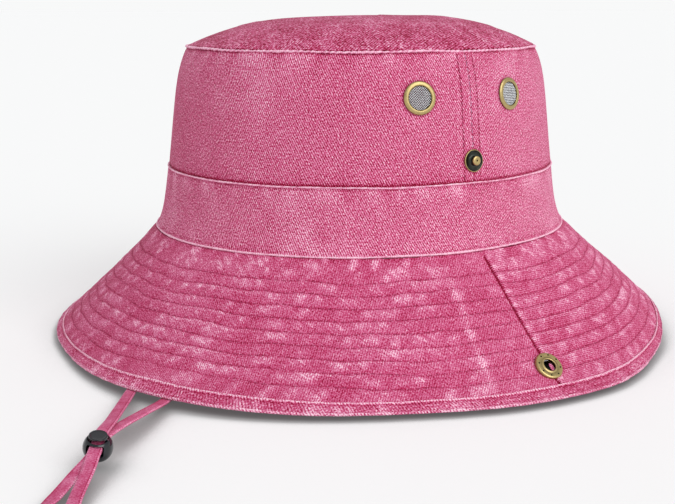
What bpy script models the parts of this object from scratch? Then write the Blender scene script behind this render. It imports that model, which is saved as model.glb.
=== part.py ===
"""Bucket hat of washed cotton twill, with snap-up brim sides, screened eyelets and a chin strap.

Units are metres, +Z is up and -Y is the front of the hat. "Right" is +X, on the right of someone
facing the front. The hat stands on the edge of its brim, so z = 0 is the surface it stands on.
"""

import math

import bmesh
import bpy
from mathutils import Matrix, Vector

# ---------------------------------------------------------------- driving dimensions
MM = 0.001
GAP = 0.3 * MM  # room left between pieces that touch

# Half widths of the oval rings, as (across X, along Y), and their heights.
JOINT_HALF, JOINT_Z = (92.0 * MM, 98.5 * MM), 47.7 * MM  # brim sewn to hatband
BAND_HALF, BAND_Z = (86.1 * MM, 92.1 * MM), 76.0 * MM  # hatband sewn to crown
RIM_HALF, RIM_Z = (76.8 * MM, 82.15 * MM), 130.3 * MM  # crown side sewn to the tip
EDGE_HALF = (144.1 * MM, 145.5 * MM)  # brim edge, at z = 0
DOME_RISE = 13.6 * MM

CLOTH = 0.8 * MM  # crown cloth with its seam allowance
PLY = 0.5 * MM  # one ply of the brim
BINDING = 0.5 * MM
STEP = math.radians(7.5)  # spacing of the columns round the hat

ROUND = round(2 * math.pi / STEP)

# The brim's edge rises at the front right, where the chin strap comes out under it.
LIFT, LIFT_AT, LIFT_HALF = 3.0 * MM, math.radians(-70), math.radians(42)
PLY_START, PLY_END = 0.02, 0.95  # shares of the brim's slant that the plies cover
BIND_START, BIND_CAVITY = 0.935, 0.955

# Ventilation eyelets, two on each side, either side of the side seam.
EYELET_Y, EYELET_Z = 23.5 * MM, 111.4 * MM
EYELET_R, EYELET_BORE, SCREEN_R = 6.5 * MM, 4.9 * MM, 4.6 * MM

# Snaps: a stud on each side seam of the crown, a socket near the brim's edge below it.
STUD_Z, STUD_R = 84.9 * MM, 4.2 * MM
SOCKET_SLANT, SOCKET_R = 58.4 * MM, 5.5 * MM
SNAPPED_DEPTH = 4.1 * MM  # crown cloth to brim cloth when snapped

# Chin strap and its cord lock.
STRAP_W, STRAP_T = 4.0 * MM, 1.2 * MM
LOCK_AT = Vector((114.5, -178.3, 5.5)) * MM
LOCK_R = 5.2 * MM
STRAP_HEADING = math.radians(52.6)  # from -Y towards +X
LOCK_PITCH, LOCK_ROLL = math.radians(12), math.radians(7)
BUNDLE_H, BUNDLE_STEP = 0.9 * MM, 0.75 * MM  # the two strands, stacked through the lock

PINK = (0.595, 0.134, 0.262)
DEEP_PINK = (0.46, 0.09, 0.19)
PALE_LINING = (0.62, 0.26, 0.38)
BRASS = (0.33, 0.25, 0.11)
GUNMETAL = (0.05, 0.05, 0.045)
STEEL = (0.42, 0.42, 0.42)
BLACK = (0.012, 0.014, 0.018)


# ---------------------------------------------------------------- the hat's surfaces
def brim_lift(t):
    """Rise of the brim's edge at angle t, measured from +X towards +Y."""
    away = (t - LIFT_AT + math.pi) % (2 * math.pi) - math.pi
    return LIFT * math.cos(away / LIFT_HALF * math.pi / 2) ** 2 if abs(away) < LIFT_HALF else 0.0


def brim(s, t):
    """Upper surface of the brim: s runs from 0 at the joint to 1 at the edge."""
    bx, by = (j + (e - j) * s for j, e in zip(JOINT_HALF, EDGE_HALF))
    return Vector((bx * math.cos(t), by * math.sin(t), JOINT_Z * (1 - s) + brim_lift(t) * s * s))


def ring_at(z):
    """Half widths of the outer cloth of the hatband or crown at height z."""
    if z < BAND_Z:
        h = (BAND_Z - z) / (BAND_Z - JOINT_Z)
        share = 0.6 * h + 0.4 * h**5
        return [b + (j - b) * share for b, j in zip(BAND_HALF, JOINT_HALF)]
    h = min((z - BAND_Z) / (RIM_Z - BAND_Z), 1.0)
    share = 1 - 0.6 * h - 0.4 * h**6.5
    return [r + (b - r) * share for r, b in zip(RIM_HALF, BAND_HALF)]


def wall(z, t):
    """Outer surface of the hatband and the crown's side."""
    wx, wy = ring_at(z)
    return Vector((wx * math.cos(t), wy * math.sin(t), z))


def dome(rho, t):
    """Outer surface of the tip: rho runs from 0 at its middle to 1 at the rim."""
    z = RIM_Z + DOME_RISE * (1 - rho**3.2)
    return Vector((RIM_HALF[0] * rho * math.cos(t), RIM_HALF[1] * rho * math.sin(t), z))


def outward(surface, u, t):
    """Outward unit normal of a surface, from small steps either way."""
    du, dt = (1e-3 if surface is not wall else 1e-5), 1e-4
    along = surface(u + du, t) - surface(u - du, t)
    round_hat = surface(u, t + dt) - surface(u, t - dt)
    n = along.cross(round_hat)
    outside = Vector((math.cos(t), math.sin(t), 1.0))
    return n.normalized() if n.dot(outside) > 0 else -n.normalized()


# ---------------------------------------------------------------- making objects
def clear_scene():
    for ob in list(bpy.data.objects):
        bpy.data.objects.remove(ob, do_unlink=True)


def finish_for(name, colour, roughness, metallic=0.0):
    mat = bpy.data.materials.new(name)
    mat.use_nodes = True
    shader = mat.node_tree.nodes["Principled BSDF"]
    shader.inputs["Base Color"].default_value = (*colour, 1)
    shader.inputs["Roughness"].default_value = roughness
    shader.inputs["Metallic"].default_value = metallic
    mat.diffuse_color = (*colour, 1)
    return mat


FINISHES = {
    "twill": (PINK, 0.9, 0.0),
    "interlining": ((0.75, 0.7, 0.68), 0.95, 0.0),
    "lining": (PALE_LINING, 0.9, 0.0),
    "strap": (DEEP_PINK, 0.9, 0.0),
    "antique_brass": (BRASS, 0.35, 1.0),
    "gunmetal": (GUNMETAL, 0.3, 1.0),
    "steel_mesh": (STEEL, 0.45, 1.0),
    "spring_steel": ((0.5, 0.5, 0.5), 0.3, 1.0),
    "black_plastic": (BLACK, 0.25, 0.0),
}


def add(name, verts, faces, finish, frame=None, parent=None):
    """One closed body. frame places local points; parent is an empty on the piece's joint axis."""
    mesh = bpy.data.meshes.new(name)
    mesh.from_pydata([tuple(v) for v in verts], [], faces)
    bm = bmesh.new()
    bm.from_mesh(mesh)
    bmesh.ops.recalc_face_normals(bm, faces=bm.faces)
    bm.to_mesh(mesh)
    bm.free()
    mesh.shade_smooth()
    mesh.set_sharp_from_angle(angle=math.radians(35))
    ob = bpy.data.objects.new(name, mesh)
    bpy.context.scene.collection.objects.link(ob)
    place = frame or Matrix.Identity(4)
    if parent is None:
        ob.matrix_world = place
    else:
        ob.parent = parent
        ob.matrix_local = parent.matrix_world.inverted() @ place
    if finish:
        ob.data.materials.append(finish_for(name + "_finish", *FINISHES[finish]))
    return ob


def pivot(name, frame):
    ob = bpy.data.objects.new(name, None)
    ob.empty_display_size = 0.01
    ob.matrix_world = frame
    bpy.context.scene.collection.objects.link(ob)
    bpy.context.view_layer.update()
    return ob


def frame_on(point, axis):
    """Frame at a point whose local Z is the given axis."""
    return Matrix.Translation(point) @ axis.to_track_quat("Z", "X").to_matrix().to_4x4()


def shell_mesh(surface, columns, outer, inner, closed):
    """Cloth between two offsets of a surface. Each column lists (u, t) pairs across the strip."""
    rows, count = len(columns[0]), len(columns)
    verts = []
    for offset in (outer, inner):
        for column in columns:
            for u, t in column:
                verts.append(surface(u, t) + outward(surface, u, t) * offset)

    def at(layer, c, r):
        return (layer * count + c % count) * rows + r

    faces = []
    for c in range(count if closed else count - 1):
        for r in range(rows - 1):
            for layer in (0, 1):
                corners = ((c, r), (c + 1, r), (c + 1, r + 1), (c, r + 1))
                faces.append([at(layer, *corner) for corner in corners])
        for r in (0, rows - 1):
            faces.append([at(0, c, r), at(0, c + 1, r), at(1, c + 1, r), at(1, c, r)])
    if not closed:
        for c in (0, count - 1):
            for r in range(rows - 1):
                faces.append([at(0, c, r), at(0, c, r + 1), at(1, c, r + 1), at(1, c, r)])
    return verts, faces


def angles(start, stop, extra=()):
    """Angles from start to stop on the hat's common columns, with the ends and extras."""
    inside = [k * STEP for k in range(math.ceil(start / STEP), math.floor(stop / STEP) + 1)]
    found = sorted({start, stop, *extra, *inside})
    return [a for i, a in enumerate(found) if i == 0 or i == len(found) - 1 or _apart(a, found, i)]


def _apart(a, found, i):
    """True when an angle is far enough from its neighbours to make a sound column."""
    least = math.radians(0.4)
    return a - found[i - 1] > least and found[-1] - a > least


def band_of_wall(name, heights, rows, outer, thickness, finish, span=None):
    """A strip of cloth on the hatband's or crown's surface, all round or between two angles.

    rows are shares of its height, closer together where the surface curves most.
    """
    closed = span is None
    start, stop = span or (0, 0)
    z_low, z_high = heights
    ts = [k * STEP for k in range(ROUND)] if closed else angles(start, stop)
    columns = [[(z_low + (z_high - z_low) * share, t) for share in rows] for t in ts]
    return add(name, *shell_mesh(wall, columns, outer, outer - thickness, closed), finish)


def turned(name, profile, frame, finish, steps=14, parent=None):
    """A closed profile of (radius, height) turned about the frame's local Z."""
    verts, rings = [], []
    for radius, height in profile:
        if radius < 1e-9:
            rings.append([len(verts)] * steps)
            verts.append(Vector((0, 0, height)))
            continue
        rings.append([len(verts) + k for k in range(steps)])
        for k in range(steps):
            a = 2 * math.pi * k / steps
            verts.append(Vector((radius * math.cos(a), radius * math.sin(a), height)))
    faces = []
    for i in range(len(rings)):
        one, two = rings[i], rings[(i + 1) % len(rings)]
        for k in range(steps):
            corners = [one[k], one[(k + 1) % steps], two[(k + 1) % steps], two[k]]
            unique = list(dict.fromkeys(corners))
            if len(unique) > 2:
                faces.append(unique)
    return add(name, verts, faces, finish, frame, parent)


def rod(name, radius, length, frame, steps=14):
    """A plain cylinder centred on a frame, used as a cutter."""
    half = length / 2
    ob = turned(name, [(0, -half), (radius, -half), (radius, half), (0, half)], frame, None, steps)
    return as_cutter(ob)


def block(name, size, centre, frame):
    """A plain box in a frame, used as a cutter."""
    corners = [(x, y, z) for x in (-0.5, 0.5) for y in (-0.5, 0.5) for z in (-0.5, 0.5)]
    verts = [Vector((x * size[0], y * size[1], z * size[2])) + Vector(centre) for x, y, z in corners]
    faces = [(0, 1, 3, 2), (4, 6, 7, 5), (0, 4, 5, 1), (2, 3, 7, 6), (0, 2, 6, 4), (1, 5, 7, 3)]
    return as_cutter(add(name, verts, faces, None, frame))


def as_cutter(ob):
    ob.hide_render = True
    ob.display_type = "WIRE"
    return ob


def cut(ob, *cutters):
    for cutter in cutters:
        mod = ob.modifiers.new(cutter.name, "BOOLEAN")
        mod.operation = "DIFFERENCE"
        mod.solver = "EXACT"
        mod.object = cutter


def tube_mesh(points, radius, sides=5):
    """A round wire along a list of points, with flat ends."""
    verts, faces = [], []
    for i, p in enumerate(points):
        ahead = points[min(i + 1, len(points) - 1)] - points[max(i - 1, 0)]
        side = ahead.cross(Vector((0, 0, 1))).normalized()
        up = side.cross(ahead).normalized()
        for k in range(sides):
            a = 2 * math.pi * k / sides
            verts.append(p + (side * math.cos(a) + up * math.sin(a)) * radius)
    return verts, ring_faces(len(points), sides)


def ring_faces(count, sides):
    """Faces of a swept section of the given number of sides, with both ends filled."""
    faces = []
    for i in range(count - 1):
        for k in range(sides):
            a, b = i * sides + k, i * sides + (k + 1) % sides
            faces.append([a, b, b + sides, a + sides])
    faces.append(list(range(sides)))
    faces.append(list(range((count - 1) * sides, count * sides)))
    return faces


# ---------------------------------------------------------------- fold-up brim sides
def fold_geometry():
    """Hinge point (x, z) and full angle of a brim side, so that its socket meets the stud.

    The fold line lies where the distance to the socket equals the distance to the snapped place.
    """
    joint = Vector((JOINT_HALF[0], JOINT_Z))
    edge = Vector((EDGE_HALF[0], 0.0))
    down_slant = (edge - joint).normalized()
    stud_normal = outward(wall, STUD_Z, 0.0)
    stud = wall(STUD_Z, 0.0) + stud_normal * SNAPPED_DEPTH
    reach = Vector((stud.x, stud.z)) - joint
    along = (SOCKET_SLANT**2 - reach.length_squared) / (2 * (SOCKET_SLANT - down_slant.dot(reach)))
    hinge = joint + down_slant * along
    closed = Vector((stud.x, stud.z)) - hinge
    angle = math.atan2(closed.y, closed.x) - math.atan2(down_slant.y, down_slant.x)
    return hinge.x, hinge.y, angle


HINGE_X, HINGE_Z, FOLD_ANGLE = fold_geometry()
SLANT = math.hypot(EDGE_HALF[0] - JOINT_HALF[0], JOINT_Z)


def fold_share(t, offset):
    """Share of the slant at which the brim crosses the fold line, moved out by offset."""
    cos_t = abs(math.cos(t))
    if cos_t < 1e-6:
        return 9.0
    return ((HINGE_X + offset) / cos_t - JOINT_HALF[0]) / (EDGE_HALF[0] - JOINT_HALF[0])


def fold_corner(share, offset):
    """Angle from the X axis at which the fold line reaches a share of the slant."""
    half = JOINT_HALF[0] + (EDGE_HALF[0] - JOINT_HALF[0]) * share
    return math.acos((HINGE_X + offset) / half)


def fixed_columns(start, stop, rows=2):
    """Columns of a fixed brim ply: from the joint to the edge, or to the fold line at the sides."""
    corner = fold_corner(PLY_END, -GAP / 2)
    extra = [a for base in (-math.pi, 0, math.pi) for a in (base - corner, base + corner)]
    ts = angles(start, stop, [a for a in extra if start < a < stop])
    columns = []
    for t in ts:
        far = min(PLY_END, fold_share(t, -GAP / 2))
        columns.append([(PLY_START + (far - PLY_START) * r / (rows - 1), t) for r in range(rows)])
    return columns


def flap_columns(start, stop, rows=2):
    """Columns of a brim side's ply: from the fold line to the edge."""
    columns = []
    for t in angles(start, stop):
        near = fold_share(t, GAP / 2)
        columns.append([(near + (PLY_END - near) * r / (rows - 1), t) for r in range(rows)])
    return columns


def make_brim(right, left):
    """Three plies, each fixed at the front and back and hinged at the sides, and the edge binding."""
    seam = math.asin(GAP / 2 / JOINT_HALF[1])  # half the gap at a side seam
    reach = fold_corner(PLY_END - 0.02, GAP / 2)  # how far round a side ply reaches
    plies = {
        "brim_top_cloth": (0.0, "twill"),
        "brim_interlining": (-(PLY + GAP), "interlining"),
        "brim_under_cloth": (-2 * (PLY + GAP), "twill"),
    }
    made = {}
    for ply, (outer, finish) in plies.items():
        seamed = ply != "brim_interlining"
        gap = seam if seamed else 0.0
        if seamed:
            spans = {"front": (-math.pi + gap, -gap), "back": (gap, math.pi - gap)}
            for side, (start, stop) in spans.items():
                mesh = shell_mesh(brim, fixed_columns(start, stop), outer, outer - PLY, False)
                add(f"{ply}_{side}", *mesh, finish)
        else:
            columns = fixed_columns(-math.pi, math.pi)[:-1]
            add(f"{ply}_centre", *shell_mesh(brim, columns, outer, outer - PLY, True), finish)
        for side, middle, hinge in (("right", 0.0, right), ("left", math.pi, left)):
            facing = 1 if side == "right" else -1
            halves = {"front": (-reach, -gap), "back": (gap, reach)}
            for half, (start, stop) in (halves if seamed else {"": (-reach, reach)}).items():
                span = sorted((middle + facing * start, middle + facing * stop))
                mesh = shell_mesh(brim, flap_columns(*span), outer, outer - PLY, False)
                name = "_".join(x for x in (ply, side, half) if x)
                made[name] = add(name, *mesh, finish, parent=hinge)
    make_binding(right, left)
    return made


def binding_section(t):
    """The folded strip over the brim's edge at one angle: nine corners of a C, flat underneath."""
    n = outward(brim, 0.95, t)
    under = -(3 * PLY + 2 * GAP)
    lip_u, cavity_u = brim(BIND_START, t), brim(BIND_CAVITY, t)
    rim = brim(1.0, t)
    out = Vector((rim.x, rim.y, 0)).normalized()
    floor = brim_lift(t)
    facet = rim - out * 4.2 * MM
    facet.z = floor
    section = [
        lip_u + n * (GAP + BINDING),
        brim(0.985, t) + n * (GAP + BINDING),
        rim + out * 0.2 * MM + Vector((0, 0, 0.9 * MM)),
        Vector((rim.x, rim.y, floor)),
        facet,
        lip_u + n * (under - GAP - BINDING),
        lip_u + n * (under - GAP),
        cavity_u + n * (under - GAP),
        cavity_u + n * GAP,
        lip_u + n * GAP,
    ]
    return section


def make_binding(right, left):
    """The strip folded over the edge, parted where the brim's sides fold."""
    corner = fold_corner(0.97, 0.0)
    slit = GAP / 2 / EDGE_HALF[0]
    spans = {
        "brim_binding_front": (-math.pi + corner + slit, -corner - slit, None),
        "brim_binding_back": (corner + slit, math.pi - corner - slit, None),
        "brim_binding_right": (-corner + slit, corner - slit, right),
        "brim_binding_left": (math.pi - corner + slit, math.pi + corner - slit, left),
    }
    for name, (start, stop, hinge) in spans.items():
        verts, ts = [], angles(start, stop)
        for t in ts:
            verts.extend(binding_section(t))
        sides = len(verts) // len(ts)
        add(name, verts, ring_faces(len(ts), sides), "twill", parent=hinge)


# ---------------------------------------------------------------- crown
def make_tip():
    """The oval top piece, domed, as a closed shell with a point at its middle on each face."""
    shares = (0.42, 0.7, 0.88, 1.0)
    ts = [k * STEP for k in range(ROUND)]
    verts, faces = [], []
    for offset in (0.0, -CLOTH):
        for rho in shares:
            for t in ts:
                verts.append(dome(rho, t) + outward(dome, rho, t) * offset)
    count = len(ts)
    poles = (len(verts), len(verts) + 1)
    verts += [Vector((0, 0, RIM_Z + DOME_RISE)), Vector((0, 0, RIM_Z + DOME_RISE - CLOTH))]
    for layer in (0, 1):
        base = layer * len(shares) * count
        for r in range(len(shares) - 1):
            for c in range(count):
                a, b = base + r * count + c, base + r * count + (c + 1) % count
                faces.append([a, b, b + count, a + count])
        for c in range(count):
            faces.append([poles[layer], base + c, base + (c + 1) % count])
    last = (len(shares) - 1) * count
    inner = len(shares) * count
    for c in range(count):
        a, b = last + c, last + (c + 1) % count
        faces.append([a, b, b + inner, a + inner])
    return add("crown_tip", verts, faces, "twill")


def wall_frame(y, z, side):
    """Frame on the crown's surface at height z, with local Z pointing out of the cloth."""
    wy = ring_at(z)[1]
    t = math.asin(y / wy)
    t = t if side > 0 else math.pi - t
    return frame_on(wall(z, t), outward(wall, z, t))


def make_crown():
    """Tip, two side panels, hatband and the pieces sewn inside; returns what the fittings cut."""
    make_tip()
    seam = math.asin(GAP / 2 / BAND_HALF[1])
    top = RIM_Z - 1.1 * MM
    low = BAND_Z + GAP / 2
    rows = (0, 0.38, 0.66, 0.83, 0.93, 1)
    panel = ((low, top), rows, 0.0, CLOTH, "twill")
    front = band_of_wall("crown_front_panel", *panel, (-math.pi + seam, -seam))
    back = band_of_wall("crown_back_panel", *panel, (seam, math.pi - seam))
    hatband = (JOINT_Z + GAP, BAND_Z - GAP / 2)
    band_of_wall("hatband", hatband, (0, 0.18, 0.5, 1), 0.0, CLOTH, "twill")
    band_of_wall("sweatband", (49.5 * MM, 75.0 * MM), (0, 0.35, 1), -2.6 * MM, 0.6 * MM, "lining")
    tape_out = -CLOTH - GAP
    rim_tape = (RIM_Z - 11.6 * MM, RIM_Z - 3 * MM)
    band_of_wall("rim_seam_tape", rim_tape, (0, 0.5, 1), tape_out - 0.2 * MM, PLY, "lining")
    half = 5.0 * MM / BAND_HALF[1]
    tape = ((78 * MM, 118.2 * MM), (0, 0.5, 1), tape_out, PLY, "lining")
    tapes = {}
    for side, middle in (("right", 0.0), ("left", math.pi)):
        tapes[side] = band_of_wall(f"side_seam_tape_{side}", *tape, (middle - half, middle + half))
    return front, back, tapes


# ---------------------------------------------------------------- metal fittings
def make_eyelet(label, frame, panel):
    """Flanged eyelet with its screen and the washer it is rolled over inside the crown."""
    hole = rod(f"cut_{label}", EYELET_BORE + 0.4 * MM + GAP, 6 * MM, frame)
    cut(panel, hole)
    barrel = EYELET_BORE + 0.4 * MM
    washer_top = -(CLOTH + GAP + 0.3 * MM)  # clear of the cloth's curve at the washer's rim
    lip = washer_top - 0.5 * MM - GAP
    eyelet = [
        (EYELET_BORE, 0.75 * MM),
        (EYELET_BORE + 0.5 * MM, 1.0 * MM),
        (EYELET_R - 0.5 * MM, 0.9 * MM),
        (EYELET_R, GAP),
        (barrel, GAP),
        (barrel, lip),
        (barrel + 0.9 * MM, lip),
        (barrel + 0.9 * MM, lip - 0.35 * MM),
        (EYELET_BORE, lip - 0.35 * MM),
    ]
    turned(f"eyelet_{label}", eyelet, frame, "antique_brass")
    washer = [
        (barrel + GAP, washer_top),
        (EYELET_R, washer_top),
        (EYELET_R, lip + GAP),
        (barrel + GAP, lip + GAP),
    ]
    turned(f"eyelet_washer_{label}", washer, frame, "antique_brass")
    screen = [(0, -0.2 * MM), (SCREEN_R, -0.2 * MM), (SCREEN_R, -0.6 * MM), (0, -0.6 * MM)]
    turned(f"eyelet_screen_{label}", screen, frame, "steel_mesh")


def make_stud(side, frame, cloths):
    """Snap stud on the crown's side seam, and the post riveted into it from inside."""
    cut_rod = rod(f"cut_stud_{side}", 1.2 * MM + GAP, 8 * MM, frame, steps=10)
    cut(cloths[0], cut_rod)
    cut(cloths[1], cut_rod)
    cut(cloths[2], cut_rod)
    stud = [
        (0, 1.5 * MM),
        (1.5 * MM, 1.5 * MM),
        (1.5 * MM, GAP),
        (STUD_R, GAP),
        (STUD_R, 0.8 * MM),
        (STUD_R - 0.4 * MM, 1.0 * MM),
        (2.6 * MM, 0.75 * MM),
        (1.75 * MM, 0.8 * MM),
        (1.7 * MM, 1.6 * MM),
        (1.95 * MM, 2.2 * MM),
        (1.7 * MM, 2.75 * MM),
        (0, 2.9 * MM),
    ]
    turned(f"snap_stud_{side}", stud, frame, "gunmetal")
    cap_top = -(CLOTH + GAP + PLY + GAP)
    post = [
        (0, 1.2 * MM),
        (1.2 * MM, 1.2 * MM),
        (1.2 * MM, cap_top),
        (STUD_R, cap_top),
        (STUD_R - 0.3 * MM, cap_top - 0.6 * MM),
        (0, cap_top - 0.7 * MM),
    ]
    turned(f"snap_post_{side}", post, frame, "antique_brass")


def make_socket(side, frame, cloths, hinge):
    """Snap socket on the brim's side: ring, the spring in its groove, and the cap riveted below."""
    hole = rod(f"cut_socket_{side}", 1.2 * MM + GAP, 8 * MM, frame, steps=10)
    for cloth in cloths:
        cut(cloth, hole)
    socket = [
        (1.5 * MM, GAP),
        (SOCKET_R, GAP),
        (SOCKET_R, 1.3 * MM),
        (SOCKET_R - 0.5 * MM, 2.0 * MM),
        (3.1 * MM, 2.1 * MM),
        (2.6 * MM, 1.9 * MM),
        (2.6 * MM, 1.65 * MM),
        (3.5 * MM, 1.65 * MM),
        (3.5 * MM, 0.85 * MM),
        (2.6 * MM, 0.85 * MM),
        (2.6 * MM, 0.6 * MM),
        (1.5 * MM, 0.6 * MM),
    ]
    turned(f"snap_socket_{side}", socket, frame, "antique_brass", parent=hinge)
    under = -(3 * PLY + 2 * GAP)
    cap = [
        (0, 0.55 * MM),
        (1.2 * MM, 0.55 * MM),
        (1.2 * MM, under - GAP),
        (SOCKET_R, under - GAP),
        (SOCKET_R - 0.4 * MM, under - GAP - 0.7 * MM),
        (0, under - GAP - 0.8 * MM),
    ]
    turned(f"snap_socket_cap_{side}", cap, frame, "antique_brass", parent=hinge)
    wire = 0.22 * MM
    steps, open_angle = 11, math.radians(40)
    ring = []
    for k in range(steps + 1):
        a = open_angle / 2 + (2 * math.pi - open_angle) * k / steps
        ring.append(Vector((3.05 * MM * math.cos(a), 3.05 * MM * math.sin(a), 1.25 * MM)))
    add(f"snap_spring_{side}", *tube_mesh(ring, wire), "spring_steel", frame, hinge)


# ---------------------------------------------------------------- cord lock
def lock_frame():
    """Local X runs along the strap, away from the hat; local Z is the button's axis."""
    heading = Vector((math.sin(STRAP_HEADING), -math.cos(STRAP_HEADING), 0))
    up = Vector((0, 0, 1))
    along = heading * math.cos(LOCK_PITCH) - up * math.sin(LOCK_PITCH)
    level = up * math.cos(LOCK_PITCH) + heading * math.sin(LOCK_PITCH)
    side = level.cross(along)
    axis = level * math.cos(LOCK_ROLL) + side * math.sin(LOCK_ROLL)
    across = axis.cross(along)
    turn = Matrix((along, across, axis)).transposed().to_4x4()
    return Matrix.Translation(LOCK_AT) @ turn


PASSAGE_W, PASSAGE_H = STRAP_W + 0.8 * MM, 3.3 * MM
BUTTON_TRAVEL = 1.8 * MM


def make_lock(frame, parent):
    """Ball-shaped body, spring and push button, all with a passage for the two strands."""
    well_r, well_floor, mouth = 3.35 * MM, -4.4 * MM, 3.6 * MM
    steps = 6
    low_angle, high_angle = -math.pi / 2, math.asin(mouth / LOCK_R)
    arc = [low_angle + (high_angle - low_angle) * k / steps for k in range(steps + 1)]
    ball = [(LOCK_R * math.cos(a) if k else 0.0, LOCK_R * math.sin(a)) for k, a in enumerate(arc)]
    ball += [(well_r, mouth), (well_r, well_floor), (0, well_floor)]
    body = turned("cord_lock_body", ball, frame, "black_plastic", 18, parent)
    passage = block("cut_lock_passage", (14 * MM, PASSAGE_W, PASSAGE_H), (0, 0, BUNDLE_H), frame)
    cut(body, passage)
    bottom, top, button_r = -1.6 * MM, 6.3 * MM, 3.05 * MM
    slot_low = BUNDLE_H - PASSAGE_H / 2
    slot_high = BUNDLE_H + PASSAGE_H / 2 + BUTTON_TRAVEL
    chamfer = 0.4 * MM
    knob = [(0, bottom), (button_r, bottom), (button_r, top - chamfer), (button_r - chamfer, top), (0, top)]
    button = turned("cord_lock_button", knob, frame, "black_plastic", 18, parent)
    slot_size = (14 * MM, PASSAGE_W, slot_high - slot_low)
    cut(button, block("cut_button_slot", slot_size, (0, 0, (slot_low + slot_high) / 2), frame))
    wire, coil_r, turns, per_turn = 0.2 * MM, 2.3 * MM, 2.5, 10
    low, high = well_floor + GAP + wire, bottom - GAP - wire
    helix = []
    for k in range(int(turns * per_turn) + 1):
        a = 2 * math.pi * k / per_turn
        share = k / (turns * per_turn)
        helix.append(Vector((coil_r * math.cos(a), coil_r * math.sin(a), low + (high - low) * share)))
    add("cord_lock_spring", *tube_mesh(helix, wire), "spring_steel", frame, parent)


# ---------------------------------------------------------------- chin strap
def strap_route():
    """Middle of the strap and the way its upper face looks, from the right anchor to the left."""
    frame = lock_frame()
    turn = frame.to_3x3()
    heading = Vector((math.sin(STRAP_HEADING), -math.cos(STRAP_HEADING), 0))
    across = Vector((math.cos(STRAP_HEADING), math.sin(STRAP_HEADING), 0))
    up, ground = Vector((0, 0, 1)), 0.9
    axis = turn @ up

    def out(x, y, z, look=up):
        return Vector((x, y, z)) * MM, Vector(look)

    def past(ahead, aside, z, look=up):
        """A point beyond the lock, in its heading."""
        base = Vector((LOCK_AT.x, LOCK_AT.y, 0))
        return base + (heading * ahead + across * aside + up * z) * MM, Vector(look)

    def through(ahead, level):
        """A point in the lock's passage, on the lower (-1) or upper (1) strand."""
        return frame @ Vector((ahead * MM, 0, BUNDLE_H + BUNDLE_STEP * level)), axis

    right = [
        out(89.7, 0, 48.9, (-1, 0, 0)), out(89.4, -0.3, 33, (-1, 0, 0)),
        out(87, -1.6, 14, (-0.9, 0, 0.4)), out(80, -5, 3.6, (-0.5, 0, 0.9)),
        out(68, -13.5, ground), out(54, -43, ground), out(48.5, -84, ground),
        out(59, -122.5, ground), out(73.6, -137, 1.2), out(83.1, -145.9, 2.7), out(93.9, -156, 5.0),
        out(98.7, -162.7, 6.8), out(102.3, -168, 8.0),
    ]
    lower = [through(a, -1) for a in (-10.5, -3, 6)]
    out_leg = [past(15, -2.7, 2.5), past(32, -4.8, ground), past(55, -7.3, 1.3, up * 0.7 - across)]
    end = [past(68, -8, 2.3, -across)]
    for k in (1, 2, 3):
        a = -math.pi / 2 + math.pi * k / 4
        look = heading * math.cos(a) + across * math.sin(a)
        end.append(past(72 + 8 * math.cos(a), 8 * math.sin(a), 2.3, look))
    end.append(past(68, 8, 2.3, across))
    back_leg = [past(55, 6.4, 1.3, up * 0.7 + across), past(32, 2.4, 1.3), past(15, 1.3, 3.7)]
    upper = [through(a, 1) for a in (6, -3, -10.5)]
    left = [
        out(101.8, -168.6, 9.5), out(96.8, -165.3, 8.1), out(89.9, -161.6, 5.9), out(71.7, -152.8, 3.2),
        out(56.5, -145.2, 1.3), out(41, -132.5, ground), out(8, -100.5, ground),
        out(-25, -60.5, ground), out(-59, -18, ground),
        out(-80, -5, 3.6, (0.5, 0, 0.9)), out(-87, -1.6, 14, (0.9, 0, 0.4)),
        out(-89.4, -0.3, 33, (1, 0, 0)), out(-89.7, 0, 48.9, (1, 0, 0)),
    ]
    return right + lower + out_leg + end + back_leg + upper + left


def smooth(values, i, f):
    """Catmull-Rom value a fraction f past the i-th of a list of vectors."""
    a, b = values[max(i - 1, 0)], values[i]
    c, d = values[min(i + 1, len(values) - 1)], values[min(i + 2, len(values) - 1)]
    square, cube = 2 * a - 5 * b + 4 * c - d, 3 * b - a - 3 * c + d
    return 0.5 * (2 * b + (c - a) * f + square * f**2 + cube * f**3)


def make_strap():
    """The flat folded strap, swept with its flat side facing the way the route says."""
    route = strap_route()
    spots, looks = [p for p, _ in route], [n for _, n in route]
    points, faces_way = [], []
    for i in range(len(route) - 1):
        for f in (0.0, 0.5):
            points.append(smooth(spots, i, f))
            faces_way.append(looks[i].lerp(looks[i + 1], f))
    points.append(spots[-1])
    faces_way.append(looks[-1])
    half_w, half_t = STRAP_W / 2, STRAP_T / 2
    section = [(half_w, 0), (half_w - half_t, half_t), (half_t - half_w, half_t)]
    section += [(-x, -y) for x, y in section]
    verts = []
    for i, p in enumerate(points):
        ahead = (points[min(i + 1, len(points) - 1)] - points[max(i - 1, 0)]).normalized()
        wide = ahead.cross(faces_way[i]).normalized()
        thick = wide.cross(ahead)
        verts += [p + wide * x + thick * y for x, y in section]
    add("chin_strap", verts, ring_faces(len(points), len(section)), "strap")


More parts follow.
